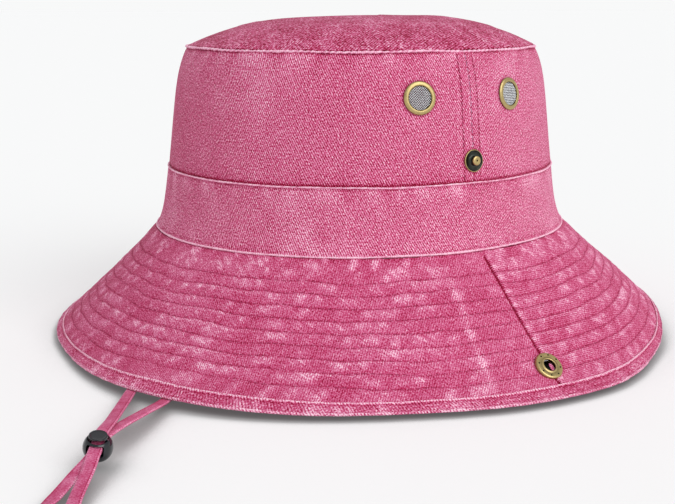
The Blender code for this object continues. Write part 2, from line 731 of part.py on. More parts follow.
# ---------------------------------------------------------------- the whole hat
def main():
    clear_scene()
    hinges = {}
    for side, x in (("right", HINGE_X), ("left", -HINGE_X)):
        hinges[side] = pivot(f"{side}_fold_line", Matrix.Translation((x, 0, HINGE_Z)))
    front, back, tapes = make_crown()
    plies = make_brim(hinges["right"], hinges["left"])
    for side, facing in (("right", 1), ("left", -1)):
        for place, y, panel in (("front", -EYELET_Y, front), ("back", EYELET_Y, back)):
            make_eyelet(f"{side}_{place}", wall_frame(y, EYELET_Z, facing), panel)
        make_stud(side, wall_frame(0.0, STUD_Z, facing), (front, back, tapes[side]))
        t = 0.0 if facing > 0 else math.pi
        share = SOCKET_SLANT / SLANT
        frame = frame_on(brim(share, t), outward(brim, share, t))
        cloths = [ob for name, ob in plies.items() if f"_{side}" in name]
        make_socket(side, frame, cloths, hinges[side])
    frame = lock_frame()
    make_lock(frame, pivot("cord_lock_pivot", frame))
    make_strap()
    bpy.context.view_layer.update()


main()
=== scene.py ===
"""Washed pink bucket hat: the visual model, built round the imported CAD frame."""

import math

import bpy
import numpy as np
from mathutils import Matrix, Vector


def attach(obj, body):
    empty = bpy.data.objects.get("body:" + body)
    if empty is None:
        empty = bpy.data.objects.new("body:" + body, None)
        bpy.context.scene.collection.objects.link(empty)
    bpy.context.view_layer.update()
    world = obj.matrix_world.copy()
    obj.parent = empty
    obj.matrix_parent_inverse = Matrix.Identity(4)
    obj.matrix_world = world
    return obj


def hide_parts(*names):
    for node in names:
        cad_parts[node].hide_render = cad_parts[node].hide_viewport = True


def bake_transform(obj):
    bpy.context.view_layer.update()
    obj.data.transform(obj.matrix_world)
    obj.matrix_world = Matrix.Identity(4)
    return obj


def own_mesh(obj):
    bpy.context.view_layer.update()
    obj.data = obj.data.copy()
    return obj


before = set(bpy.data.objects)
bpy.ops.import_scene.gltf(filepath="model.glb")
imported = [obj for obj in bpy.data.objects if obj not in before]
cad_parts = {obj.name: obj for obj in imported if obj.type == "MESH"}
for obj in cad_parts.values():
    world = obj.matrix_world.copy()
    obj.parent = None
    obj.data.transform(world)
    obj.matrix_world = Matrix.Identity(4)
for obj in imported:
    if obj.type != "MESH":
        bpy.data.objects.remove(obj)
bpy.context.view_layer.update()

MM = 0.001
PI, TAU = math.pi, 2 * math.pi
UP = Vector((0, 0, 1))

# ---------------------------------------------------------------- camera
EYE = Vector((0.46156, -0.30203, 0.148))
LOOK = Vector((-0.82923, 0.51867, -0.20825))
LENS = 61.6


def in_scene(name, data, facing=None):
    ob = bpy.data.objects.new(name, data)
    bpy.context.scene.collection.objects.link(ob)
    if facing is not None:
        ob.rotation_mode, ob.rotation_quaternion = "QUATERNION", facing
    return ob


def make_camera():
    data = bpy.data.cameras.new("camera")
    data.lens, data.sensor_width = LENS, 36.0
    data.clip_start, data.clip_end = 0.01, 100
    camera = in_scene("camera", data, LOOK.to_track_quat("-Z", "Y"))
    camera.location = EYE
    bpy.context.scene.camera = camera


make_camera()

# ---------------------------------------------------------------- the hat's surfaces
JOINT_HALF, JOINT_Z = (92.0 * MM, 98.5 * MM), 47.7 * MM
BAND_HALF, BAND_Z = (86.1 * MM, 92.1 * MM), 76.0 * MM
RIM_HALF, RIM_Z = (76.8 * MM, 82.15 * MM), 130.3 * MM
EDGE_HALF = (144.1 * MM, 145.5 * MM)
DOME_RISE = 13.6 * MM
# The soft brim strays a little from the oval cone: (angle, half width) in degrees, and mm.
LIFTS = ((-64, 30, 1.7), (62, 42, 5.5), (-150, 30, 1.0))  # rises of the edge
SWELLS = ((0, 24, 3.4), (180, 24, 5.0), (-62, 38, 8.0), (-22, 50, 1.8), (14, 18, 3.2), (51, 26, -2.2))  # outwards
ARCHES = ((62, 60, 1.6), (-125, 40, -0.8))  # rises half way down the brim
SLANT = 70.6 * MM  # joint to edge, along the brim at its sides
SLANT_MM = SLANT / MM
BRIM_THICK = 2.1 * MM
CLOTH = 0.8 * MM
ROW_FIRST, ROW_STEP, ROWS = 0.168, 0.0855, 9
SOCKET_SLANT = 58.4 * MM
STUD_Z = 84.9 * MM
EYELET_Y, EYELET_Z = 23.5 * MM, 111.4 * MM
SIDES = (("right", 0.0, 1), ("left", PI, -1))  # name, angle, and the turn in t that leads to the back


def strays(t, places):
    """The sum of smooth bumps round the hat, in metres."""
    total = np.zeros_like(np.asarray(t, float))
    for middle, half, size in places:
        away = np.degrees((t - math.radians(middle) + PI) % TAU - PI) / half
        total = total + np.where(np.abs(away) < 1, size * MM * np.cos(away * PI / 2) ** 2, 0.0)
    return total


def brim(s, t):
    """Upper surface of the brim: s runs from 0 at the joint to 1 at the edge, t from +X towards +Y."""
    s, t = np.broadcast_arrays(np.asarray(s, float), np.asarray(t, float))
    flare = strays(t, SWELLS) * np.abs(s) ** 10
    bx, by = (j + (e - j) * s + flare for j, e in zip(JOINT_HALF, EDGE_HALF))
    z = JOINT_Z * (1 - s) + strays(t, LIFTS) * s * s + strays(t, ARCHES) * 4 * s * (1 - s)
    return np.stack((bx * np.cos(t), by * np.sin(t), z), -1)


def plain_brim(s, t):
    """The oval cone that the brim is cut as, where the snaps are set."""
    bx, by = (j + (e - j) * s for j, e in zip(JOINT_HALF, EDGE_HALF))
    return np.stack((bx * np.cos(t), by * np.sin(t), JOINT_Z * (1 - s)), -1)


def ring_at(z):
    """Half widths of the hatband's or crown's oval at height z."""
    h = np.clip((BAND_Z - z) / (BAND_Z - JOINT_Z), 0, 1)
    low = 0.6 * h + 0.4 * h**5
    g = np.clip((z - BAND_Z) / (RIM_Z - BAND_Z), 0, 1)
    high = 1 - 0.6 * g - 0.4 * g**6.5
    halves = zip(JOINT_HALF, BAND_HALF, RIM_HALF)
    return [np.where(z < BAND_Z, b + (j - b) * low, r + (b - r) * high) for j, b, r in halves]


def wall(z, t):
    """Outer surface of the hatband and the crown's side, at height z."""
    z, t = np.broadcast_arrays(np.asarray(z, float), np.asarray(t, float))
    wx, wy = ring_at(z)
    return np.stack((wx * np.cos(t), wy * np.sin(t), z), -1)


def dome(rho, t):
    """Outer surface of the tip: rho runs from 0 at its middle to 1 at the rim."""
    rho, t = np.broadcast_arrays(np.asarray(rho, float), np.asarray(t, float))
    z = RIM_Z + DOME_RISE * (1 - np.abs(rho) ** 3.2)
    return np.stack((RIM_HALF[0] * rho * np.cos(t), RIM_HALF[1] * rho * np.sin(t), z), -1)


def unit(v):
    return v / np.linalg.norm(v, axis=-1, keepdims=True)


def outward(surface, u, t):
    """Outward unit normals of a surface."""
    du, dt = (1e-5 if surface is wall else 1e-3), 1e-4
    along = surface(u + du, t) - surface(u - du, t)
    n = unit(np.cross(along, surface(u, t + dt) - surface(u, t - dt)))
    outside = np.stack((np.cos(t), np.sin(t), np.ones_like(t)), -1)
    return n * np.sign(np.sum(n * outside, -1, keepdims=True))


def plies(surface, u, t, height, depth):
    """The grid at a height above a surface and the one at a depth below it, both in metres."""
    n, middle = outward(surface, u, t), surface(u, t)
    return middle + n * height[..., None], middle - n * depth[..., None]


# ---------------------------------------------------------------- smooth noise and curves
def lattice(i, j, seed):
    h = np.sin(i * 127.1 + j * 311.7 + seed * 74.7) * 43758.5453
    return h - np.floor(h)


def smoothstep(low, high, x):
    f = np.clip((x - low) / (high - low), 0, 1)
    return f * f * (3 - 2 * f)


def bell(x, middle, width):
    return np.exp(-(((x - middle) / width) ** 2))


def noise(u, v, seed, period=None):
    """Value noise from 0 to 1 on a unit lattice, repeating in u after a whole number of cells."""
    i, j = np.floor(u), np.floor(v)
    fu, fv = u - i, v - j
    fu, fv = fu * fu * (3 - 2 * fu), fv * fv * (3 - 2 * fv)
    i2 = i + 1
    if period:
        i, i2 = i % period, i2 % period
    low = lattice(i, j, seed) * (1 - fu) + lattice(i2, j, seed) * fu
    high = lattice(i, j + 1, seed) * (1 - fu) + lattice(i2, j + 1, seed) * fu
    return low * (1 - fv) + high * fv


MIDDLE_R = 118.0  # mm, the brim's radius half way out


def ring_noise(t, across, cell, cell_across, seed, radius=MIDDLE_R):
    """Noise with cells given in mm, round the hat (t) and across it (mm)."""
    count = max(3, round(TAU * radius / cell))
    return noise((t % TAU) / TAU * count, across / cell_across + seed * 7.3, seed, count)


def rough(t, across, cell, seed, radius=MIDDLE_R, shape=1.0):
    """Two octaves of noise round the hat, from 0 to 1."""
    coarse = ring_noise(t, across, cell, cell * shape, seed, radius)
    fine = ring_noise(t, across, cell * 0.47, cell * shape * 0.47, seed + 31, radius)
    return 0.65 * coarse + 0.35 * fine


def run_along(path):
    """Distance along a path at each of its points."""
    return np.concatenate(([0], np.cumsum(np.linalg.norm(np.diff(path, axis=0), axis=1))))


def bounded(height, wear, deep):
    return height, np.clip(wear, 0, 1), np.clip(deep, 0, 1)


# ---------------------------------------------------------------- making meshes
def new_object(name, mesh, material):
    mesh.shade_smooth()
    ob = in_scene(name, mesh)
    ob.data.materials.append(material)
    return ob


def mesh_from(name, verts, quads, uv=None, layers=None, tris=None):
    """A mesh from arrays; uv and layers are per vertex."""
    verts = np.asarray(verts, float).reshape(-1, 3)
    quads = np.asarray(quads, int).reshape(-1, 4)
    tris = np.asarray([] if tris is None else tris, int).reshape(-1, 3)
    used, corners = np.unique(np.concatenate((quads.ravel(), tris.ravel())), return_inverse=True)
    verts = verts[used]
    totals = np.concatenate((np.full(len(quads), 4), np.full(len(tris), 3)))
    mesh = bpy.data.meshes.new(name)
    mesh.vertices.add(len(verts))
    mesh.vertices.foreach_set("co", verts.astype(np.float32).ravel())
    mesh.loops.add(len(corners))
    mesh.loops.foreach_set("vertex_index", corners.astype(np.int32))
    mesh.polygons.add(len(totals))
    mesh.polygons.foreach_set("loop_start", np.concatenate(([0], np.cumsum(totals)[:-1])).astype(np.int32))
    mesh.update(calc_edges=True)
    if uv is not None:
        values = np.asarray(uv, float).reshape(-1, 2)[used][corners]
        mesh.uv_layers.new(name="cloth").data.foreach_set("uv", values.astype(np.float32).ravel())
    for key, values in (layers or {}).items():
        made = mesh.attributes.new(key, "FLOAT", "POINT")
        made.data.foreach_set("value", np.asarray(values, np.float32).ravel()[used])
    mesh.validate()
    return mesh


def solid(name, material, *arrays):
    """A closed object from mesh_from's arrays, its faces turned outwards by the sign of its volume."""
    mesh = mesh_from(name, *arrays)
    found = {}
    for key, size in (("center", 3), ("normal", 3), ("area", 1)):
        found[key] = np.zeros(len(mesh.polygons) * size, np.float32)
        mesh.polygons.foreach_get(key, found[key])
    facing = np.sum(found["center"].reshape(-1, 3) * found["normal"].reshape(-1, 3), 1)
    if np.sum(facing * found["area"]) < 0:
        mesh.flip_normals()
    return new_object(name, mesh, material)


def grid_quads(rows, cols, wrap=False, first=0, flip=False):
    r = np.arange(rows - 1)[:, None]
    c = np.arange(cols if wrap else cols - 1)[None, :]
    c2 = (c + 1) % cols
    quads = np.stack((r * cols + c, r * cols + c2, (r + 1) * cols + c2, (r + 1) * cols + c), -1).reshape(-1, 4)
    return (quads[:, ::-1] if flip else quads) + first


def slab(name, top, under, uv, layers, material, wrap=False, holes=None, under_layers=None):
    """A closed cloth: a top grid and an under grid of the same size, joined round their borders and holes.

    holes is true for each cell that is cut away.
    """
    rows, cols = top.shape[:2]
    count = rows * cols
    cells = (rows - 1, cols if wrap else cols - 1)
    keep = np.ones(cells, bool) if holes is None else ~holes
    padded = np.zeros((cells[0] + 2, cells[1] + 2), bool)
    padded[1:-1, 1:-1] = keep
    if wrap:
        padded[1:-1, 0], padded[1:-1, -1] = keep[:, -1], keep[:, 0]
    quads = [grid_quads(rows, cols, wrap)[keep.ravel()], grid_quads(rows, cols, wrap, count, True)[keep.ravel()]]

    def walls(one, two, solid_after):
        """Quads between the top and under grids along the sides of kept cells."""
        made = np.stack((one, two, two + count, one + count), -1)
        made[~solid_after] = made[~solid_after][:, ::-1]
        quads.append(made)

    across = np.argwhere(padded[1:-1, :-1] != padded[1:-1, 1:])  # cell sides that run from row to row
    if wrap:
        across = across[across[:, 1] < cols]
    r, c = across[:, 0], across[:, 1] % cols
    walls(r * cols + c, (r + 1) * cols + c, padded[1:-1, 1:][r, across[:, 1]])
    r, c = np.argwhere(padded[:-1, 1:-1] != padded[1:, 1:-1]).T
    walls(r * cols + (c + 1) % cols, r * cols + c, padded[1:, 1:-1][r, c])
    verts = np.concatenate((top.reshape(-1, 3), under.reshape(-1, 3)))
    uvs = np.concatenate((uv.reshape(-1, 2), uv.reshape(-1, 2)))
    both = {}
    for key, values in layers.items():
        below = (under_layers or {}).get(key, values)
        both[key] = np.concatenate((np.ravel(values), np.ravel(np.broadcast_to(below, values.shape))))
    return solid(name, material, verts, np.concatenate(quads), uvs, both)


def loft(name, rings, uv, shade, material, closed=False):
    """A skin over rings of points (n, m, 3), each ring closed; the ends are capped unless it closes on itself."""
    n, m = rings.shape[:2]
    i = np.arange(n if closed else n - 1)[:, None]
    k = np.arange(m)[None, :]
    i2, k2 = (i + 1) % n, (k + 1) % m
    quads = np.stack((i * m + k, i * m + k2, i2 * m + k2, i2 * m + k), -1).reshape(-1, 4)
    verts, uvs, tris = rings.reshape(-1, 3), uv.reshape(-1, 2), []
    shade = {key: np.ravel(values) for key, values in shade.items()}
    for ring in () if closed else (0, n - 1):
        middle = len(verts)
        verts = np.concatenate((verts, rings[ring].mean(0)[None]))
        uvs = np.concatenate((uvs, uv[ring].mean(0)[None]))
        shade = {key: np.append(values, values[ring * m]) for key, values in shade.items()}
        for a in range(m):
            tri = (ring * m + a, ring * m + (a + 1) % m, middle)
            tris.append(tri if ring else tri[::-1])
    return solid(name, material, verts, quads, uvs, shade, tris)


def sweep(name, path, wide, thick, section, material, closed=False, layers=None, widths=1.0):
    """A closed section of (across, up, wear and painted highlight, painted shade) swept along a path.

    wide and thick are unit vectors at each point; widths scales the section at each corner.
    """
    n, m = len(path), len(section)
    sec = np.asarray(section, float)
    scale = np.broadcast_to(widths, (n, m))
    rings = path[:, None, :] + wide[:, None, :] * (sec[None, :, 0] * scale)[..., None]
    rings = rings + thick[:, None, :] * (sec[None, :, 1] * scale)[..., None]
    uv = np.stack(np.broadcast_arrays(run_along(path)[:, None], run_along(sec[:, :2])[None, :]), -1)
    shade = {"wear": np.broadcast_to(sec[:, 2], (n, m)), "deep": np.broadcast_to(sec[:, 3], (n, m))}
    for key, values in (layers or {}).items():
        shade[key] = np.clip(shade[key] + values, 0, 1)
    return loft(name, rings, uv, shade, material, closed)


def wire_piece(name, path, radius, place, material, sides=8, up=(0.02, 0.01, 1.0), shade=0):
    """A round wire along a local path."""
    ahead = unit(np.gradient(path, axis=0))
    wide = unit(np.cross(ahead, up))
    section = [(radius * math.cos(a), radius * math.sin(a), 0, shade) for a in np.arange(sides) * TAU / sides]
    ob = sweep(name, path, wide, np.cross(wide, ahead), section, material)
    if place is not None:
        ob.data.transform(place)
    return ob


def rounded(profile, radius=0.12, steps=3):
    """A profile of (radius, height, shade), in mm, with each corner off the axis replaced by a short arc."""
    out = []
    for k, (r, h, shade) in enumerate(profile):
        if r < 1e-6:
            out.append((r, h, shade))
            continue
        p, a, b = (np.array(q[:2], float) for q in ((r, h), profile[k - 1], profile[(k + 1) % len(profile)]))
        to_a, to_b = np.linalg.norm(a - p), np.linalg.norm(b - p)
        start = p + (a - p) / to_a * min(radius, to_a * 0.45)
        stop = p + (b - p) / to_b * min(radius, to_b * 0.45)
        for f in np.linspace(0, 1, steps + 1):
            q = start * (1 - f) ** 2 + p * 2 * f * (1 - f) + stop * f**2
            out.append((*q, shade))
    return out


def turned(name, profile, place, material, steps=64):
    """A closed profile of (radius, height, shade), in mm, turned about the frame's local Z."""
    angle = np.arange(steps) * TAU / steps
    verts, rings, shade = [], [], []
    for r, h, dark in profile:
        start = len(verts)
        on_axis = r < 1e-6
        rings.append(np.full(steps, start) if on_axis else start + np.arange(steps))
        around = angle[:1] if on_axis else angle
        verts.extend(zip(r * MM * np.cos(around), r * MM * np.sin(around), np.full(len(around), h * MM)))
        shade.extend([dark] * len(around))
    quads, tris = [], []
    for one, two in zip(rings, rings[1:] + rings[:1]):
        for a in range(steps):
            b = (a + 1) % steps
            face = list(dict.fromkeys((one[a], one[b], two[b], two[a])))
            if len(face) > 2:
                (quads if len(face) == 4 else tris).append(face)
    ob = solid(name, material, verts, quads, None, {"deep": shade}, tris)
    ob.data.transform(place)
    return ob


def join(name, objects):
    """Merges objects into the first one's mesh."""
    with bpy.context.temp_override(active_object=objects[0], selected_editable_objects=objects):
        bpy.ops.object.join()
    objects[0].name = objects[0].data.name = name
    return objects[0]


def settle(ob, slot, *cad_nodes, body="hat"):
    """Puts a piece on its body, in place of its CAD nodes."""
    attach(ob, body)
    if cad_nodes:
        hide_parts(*cad_nodes)
    return ob


# ---------------------------------------------------------------- materials
def node(tree, kind, inputs=None, **settings):
    made = tree.nodes.new(kind)
    for key, value in settings.items():
        setattr(made, key, value)
    for key, value in (inputs or {}).items():
        if isinstance(value, bpy.types.NodeSocket):
            tree.links.new(value, made.inputs[key])
        else:
            made.inputs[key].default_value = value
    return made


def maths(tree, operation, a, b=0.0, c=0.0):
    return node(tree, "ShaderNodeMath", {0: a, 1: b, 2: c}, operation=operation).outputs[0]


def mottle(tree, where, scale, detail=2.0, roughness=0.5):
    inputs = {"Vector": where, "Scale": scale, "Detail": detail, "Roughness": roughness}
    return node(tree, "ShaderNodeTexNoise", inputs).outputs["Fac"]


def ramp(tree, factor, stops):
    made = node(tree, "ShaderNodeValToRGB", {"Fac": factor})
    elements = made.color_ramp.elements
    while len(elements) > 1:
        elements.remove(elements[-1])
    for k, (at, colour) in enumerate(stops):
        element = elements[0] if k == 0 else elements.new(at)
        element.position, element.color = at, (*colour, 1)
    return made.outputs["Color"]


def linear(*rgb):
    """sRGB 0-255 to linear."""
    return tuple(((c / 255 + 0.055) / 1.055) ** 2.4 if c > 10 else c / 255 / 12.92 for c in rgb)


def attribute(tree, name):
    return node(tree, "ShaderNodeAttribute", attribute_name=name).outputs["Fac"]


def new_material(name):
    mat = bpy.data.materials.new(name)
    mat.use_nodes = True
    return mat, mat.node_tree, mat.node_tree.nodes["Principled BSDF"]


def dress(tree, shader, inputs, relief=None):
    """Links or sets the shader's sockets; relief is a bump's strength, distance in mm, and height."""
    for key, value in inputs.items():
        if isinstance(value, bpy.types.NodeSocket):
            tree.links.new(value, shader.inputs[key])
        else:
            shader.inputs[key].default_value = value
    if relief:
        strength, distance, height = relief
        bump = node(tree, "ShaderNodeBump", {"Strength": strength, "Distance": distance * MM, "Height": height})
        tree.links.new(bump.outputs[0], shader.inputs["Normal"])


PINKS = [
    (0.0, linear(122, 0, 34)),
    (0.18, linear(166, 26, 72)),
    (0.34, linear(190, 64, 108)),
    (0.46, linear(200, 90, 132)),
    (0.6, linear(213, 117, 153)),
    (0.8, linear(233, 155, 187)),
    (1.0, linear(249, 208, 224)),
]


def twill(name, wale=1.06, angle=62.0, rib=1.0, speckle=1.0, cloud=1.0, paled_by=0.34, grain=1400.0, base=0.45):
    """Washed cotton twill: diagonal wales broken by yarns, cloudy dye, pale where it is abraded and where a
    highlight is painted, darker where shade is painted.

    wale is the distance between wales in mm and angle their slope; UVs are in metres.
    """
    mat, tree, shader = new_material(name)
    uv = node(tree, "ShaderNodeUVMap", uv_map="cloth").outputs["UV"]
    turn = node(tree, "ShaderNodeMapping", {"Vector": uv, "Rotation": (0, 0, -math.radians(90 - angle))})
    pattern = {"Vector": turn.outputs[0], "Scale": TAU / (20 * wale * MM), "Distortion": 1.6}
    pattern.update({"Detail": 2.0, "Detail Scale": 1.4, "Detail Roughness": 0.6})
    bands = {"wave_type": "BANDS", "bands_direction": "X", "wave_profile": "SIN"}
    wave = node(tree, "ShaderNodeTexWave", pattern, **bands).outputs["Fac"]
    speck = mottle(tree, uv, grain, 2.0, 0.7)
    mist, drift = mottle(tree, uv, 170.0, 4.0, 0.65), mottle(tree, uv, 32.0, 3.0, 0.6)
    cloth = maths(tree, "MULTIPLY_ADD", wave, 0.34 * rib, base - 0.17 * rib)
    for source, weight in ((speck, 1.4 * speckle), (mist, 0.42 * cloud), (drift, 0.26 * cloud)):
        cloth = maths(tree, "MULTIPLY_ADD", maths(tree, "SUBTRACT", source, 0.5), weight, cloth)
    grainy = maths(tree, "MULTIPLY_ADD", speck, 2.0, 0.0)
    ribbed = maths(tree, "MULTIPLY_ADD", wave, 0.5, 0.72)
    # Paler where the cloth is abraded and where a highlight is painted.
    paled = maths(tree, "MULTIPLY", maths(tree, "MULTIPLY", attribute(tree, "wear"), grainy), ribbed)
    cloth = maths(tree, "MULTIPLY_ADD", paled, paled_by, cloth)
    # Darker where shade is painted.
    cloth = maths(tree, "MULTIPLY_ADD", attribute(tree, "deep"), -0.42, cloth)
    look = {"Base Color": ramp(tree, cloth, PINKS), "Roughness": 0.9, "Specular IOR Level": 0.15}
    look.update({"Sheen Weight": 0.06, "Sheen Roughness": 0.45, "Sheen Tint": (1.0, 0.86, 0.92, 1)})
    dress(tree, shader, look, (0.5, 0.12, maths(tree, "MULTIPLY_ADD", speck, 0.8, wave)))
    return mat


def plain_cloth(name, light, dark, scale=900.0):
    """Plain woven cotton tape or thread."""
    mat, tree, shader = new_material(name)
    uv = node(tree, "ShaderNodeUVMap", uv_map="cloth").outputs["UV"]
    yarns = {"Vector": uv, "Scale": scale, "Distortion": 0.6}
    across, along = (node(tree, "ShaderNodeTexWave", yarns, bands_direction=way).outputs["Fac"] for way in "XY")
    weave = maths(tree, "MULTIPLY", across, along)
    tone = maths(tree, "MULTIPLY_ADD", weave, 0.45, maths(tree, "MULTIPLY", mottle(tree, uv, 120.0, 4.0), 0.7))
    colour = ramp(tree, tone, [(0.15, dark), (0.85, light)])
    dress(tree, shader, {"Base Color": colour, "Roughness": 0.92, "Specular IOR Level": 0.15}, (0.4, 0.1, weave))
    return mat


def metal(name, light, dark, roughness, grain=0.25):
    """Plated metal, darker in its recesses and cloudy where it has dulled."""
    mat, tree, shader = new_material(name)
    where = node(tree, "ShaderNodeTexCoord").outputs["Object"]
    cloud, fine = mottle(tree, where, 700.0, 4.0, 0.6), mottle(tree, where, 4500.0)
    tone = maths(tree, "MULTIPLY_ADD", cloud, grain * 2, 0.75 - grain)
    tone = maths(tree, "MULTIPLY_ADD", attribute(tree, "deep"), -0.8, tone)
    colour = ramp(tree, tone, [(0.05, dark), (0.8, light)])
    dull = maths(tree, "MULTIPLY_ADD", fine, 0.2, roughness - 0.1)
    dress(tree, shader, {"Base Color": colour, "Roughness": dull, "Metallic": 1.0}, (0.15, 0.05, fine))
    return mat


def glossy_plastic(name):
    """Moulded blue-black acetal with a faint texture and a polished skin."""
    mat, tree, shader = new_material(name)
    where = node(tree, "ShaderNodeTexCoord").outputs["Object"]
    cloud, fine = mottle(tree, where, 500.0, 3.0), mottle(tree, where, 2600.0, 1.0)
    colour = ramp(tree, cloud, [(0.3, linear(6, 10, 16)), (0.7, linear(17, 23, 32))])
    gloss = maths(tree, "MULTIPLY_ADD", cloud, 0.12, 0.12)
    dress(tree, shader, {"Base Color": colour, "Roughness": gloss, "Specular IOR Level": 0.6}, (0.06, 0.05, fine))
    return mat


crown_twill = twill("crown_twill", wale=0.86, rib=1.4, speckle=1.55, cloud=0.5, base=0.46)
tip_twill = twill("tip_twill", rib=0.8, speckle=1.9, cloud=1.9, base=0.36, grain=1000.0)
band_twill = twill("hatband_twill", wale=0.86, rib=1.4, speckle=1.6, base=0.48, cloud=0.7)
brim_twill = twill("brim_twill", wale=0.9, rib=0.6, speckle=1.25, cloud=0.8, base=0.43, paled_by=0.4)
binding_twill = twill("binding_twill", wale=1.05, angle=60, rib=0.7, speckle=1.6, base=0.44, cloud=0.9, paled_by=0.5)
ridge_twill = twill("ridge_twill", wale=0.8, angle=70, rib=0.2, speckle=0.5, base=0.6, cloud=0.8)
strap_twill = twill("strap_twill", wale=0.9, angle=55, rib=0.3, speckle=0.55, base=0.43, cloud=1.3)
thread_pink = plain_cloth("thread_pink", linear(196, 80, 120), linear(128, 24, 62), 1500.0)
thread_pale = plain_cloth("thread_pale", linear(236, 190, 214), linear(160, 90, 140), 1500.0)
lining_cloth = plain_cloth("lining_cloth", linear(226, 140, 172), linear(176, 82, 120))
antique_brass = metal("antique_brass_metal", linear(188, 168, 116), linear(62, 48, 24), 0.4)
gunmetal = metal("gunmetal_metal", linear(84, 88, 82), linear(18, 20, 18), 0.3)
mesh_steel = metal("mesh_steel", linear(226, 228, 230), linear(90, 92, 96), 0.4)
spring_steel = metal("spring_wire", linear(200, 200, 198), linear(90, 90, 88), 0.28)
lock_plastic = glossy_plastic("lock_plastic_gloss")


# ---------------------------------------------------------------- chin strap and its cord lock
LOCK_AT = Vector((114.5, -178.3, 5.5)) * MM
BALL_R = 5.05  # mm
STRAP_W, STRAP_T = 4.0 * MM, 1.2 * MM
STRAP_HEADING = math.radians(52.6)  # from -Y towards +X
HEADING = Vector((math.sin(STRAP_HEADING), -math.cos(STRAP_HEADING), 0))
LOCK_PITCH, LOCK_ROLL = math.radians(12), math.radians(7)
BUNDLE_H, BUNDLE_STEP = 0.9 * MM, 0.75 * MM
PASSAGE_W, PASSAGE_H = STRAP_W + 2.0 * MM, 3.8 * MM  # through the ball
SLOT_W, SLOT_H = STRAP_W + 1.6 * MM, 3.3 * MM  # through the button
BUTTON_TRAVEL = 1.8 * MM
CUT_LENGTH = 14 * MM


def lock_frame():
    """Local X runs along the strap, away from the hat; local Z is the button's axis."""
    along = HEADING * math.cos(LOCK_PITCH) - UP * math.sin(LOCK_PITCH)
    level = UP * math.cos(LOCK_PITCH) + HEADING * math.sin(LOCK_PITCH)
    axis = level * math.cos(LOCK_ROLL) + level.cross(along) * math.sin(LOCK_ROLL)
    turn = Matrix((along, axis.cross(along), axis)).transposed().to_4x4()
    return Matrix.Translation(LOCK_AT) @ turn


def strap_route():
    """Middle of the strap and the way its upper face looks, from the right anchor to the left."""
    place = lock_frame()
    axis = place.to_3x3() @ UP
    across = Vector((-HEADING.y, HEADING.x, 0))
    ground = 0.9  # mm, the strap's middle where it lies on the table

    def out(x, y, z, look=UP):
        return Vector((x, y, z)) * MM, Vector(look)

    def past(ahead, aside, z, look=UP):
        """A point beyond the lock, in its heading."""
        base = Vector((LOCK_AT.x, LOCK_AT.y, 0))
        return base + (HEADING * ahead + across * aside + UP * z) * MM, Vector(look)

    def through(ahead, level):
        """A point in the lock's passage, on the lower (-1) or upper (1) strand."""
        return place @ Vector((ahead * MM, 0.06 * ahead * level * MM, BUNDLE_H + BUNDLE_STEP * level)), axis

    right = [
        out(89.7, 0, 48.9, (-1, 0, 0)), out(89.4, -0.3, 33, (-1, 0, 0)),
        out(87, -1.6, 14, (-0.9, 0, 0.4)), out(80, -5, 3.6, (-0.5, 0, 0.9)),
        out(68, -13.5, ground), out(54, -43, ground), out(48.5, -84, ground),
        out(58, -121.8, ground), out(71.5, -135.5, ground), out(85, -149.6, 3.1), out(98, -163.2, 5.2),
    ]
    lower = [through(a, -1) for a in (-6.8, -2, 6)]
    out_leg = [past(15, -2.7, 2.5), past(32, -4.8, ground), past(55, -7.3, 1.3, UP * 0.7 - across)]
    end = [past(68, -8, 2.3, -across)]
    for k in (1, 2, 3):
        a = -PI / 2 + PI * k / 4
        look = HEADING * math.cos(a) + across * math.sin(a)
        end.append(past(72 + 8 * math.cos(a), 8 * math.sin(a), 2.3, look))
    end.append(past(68, 8, 2.3, across))
    back_leg = [past(55, 6.4, 1.3, UP * 0.7 + across), past(32, 2.4, 1.3), past(15, 1.3, 3.7)]
    upper = [through(a, 1) for a in (6, -2, -6.8)]
    left = [
        out(97.2, -167, 6.9), out(84, -159.5, 4.9), out(69.5, -151.1, 2.9), out(55, -142.8, ground),
        out(40, -131.5, ground), out(8, -100.5, ground),
        out(-25, -60.5, ground), out(-59, -18, ground),
        out(-80, -5, 3.6, (0.5, 0, 0.9)), out(-87, -1.6, 14, (0.9, 0, 0.4)),
        out(-89.4, -0.3, 33, (1, 0, 0)), out(-89.7, 0, 48.9, (1, 0, 0)),
    ]
    return right + lower + out_leg + end + back_leg + upper + left


def smooth(values, i, f):
    """Catmull-Rom value a fraction f past the i-th of a list of vectors."""
    a, b = values[max(i - 1, 0)], values[i]
    c, d = values[min(i + 1, len(values) - 1)], values[min(i + 2, len(values) - 1)]
    square, cube = 2 * a - 5 * b + 4 * c - d, 3 * b - a - 3 * c + d
    return 0.5 * (2 * b + (c - a) * f + square * f**2 + cube * f**3)


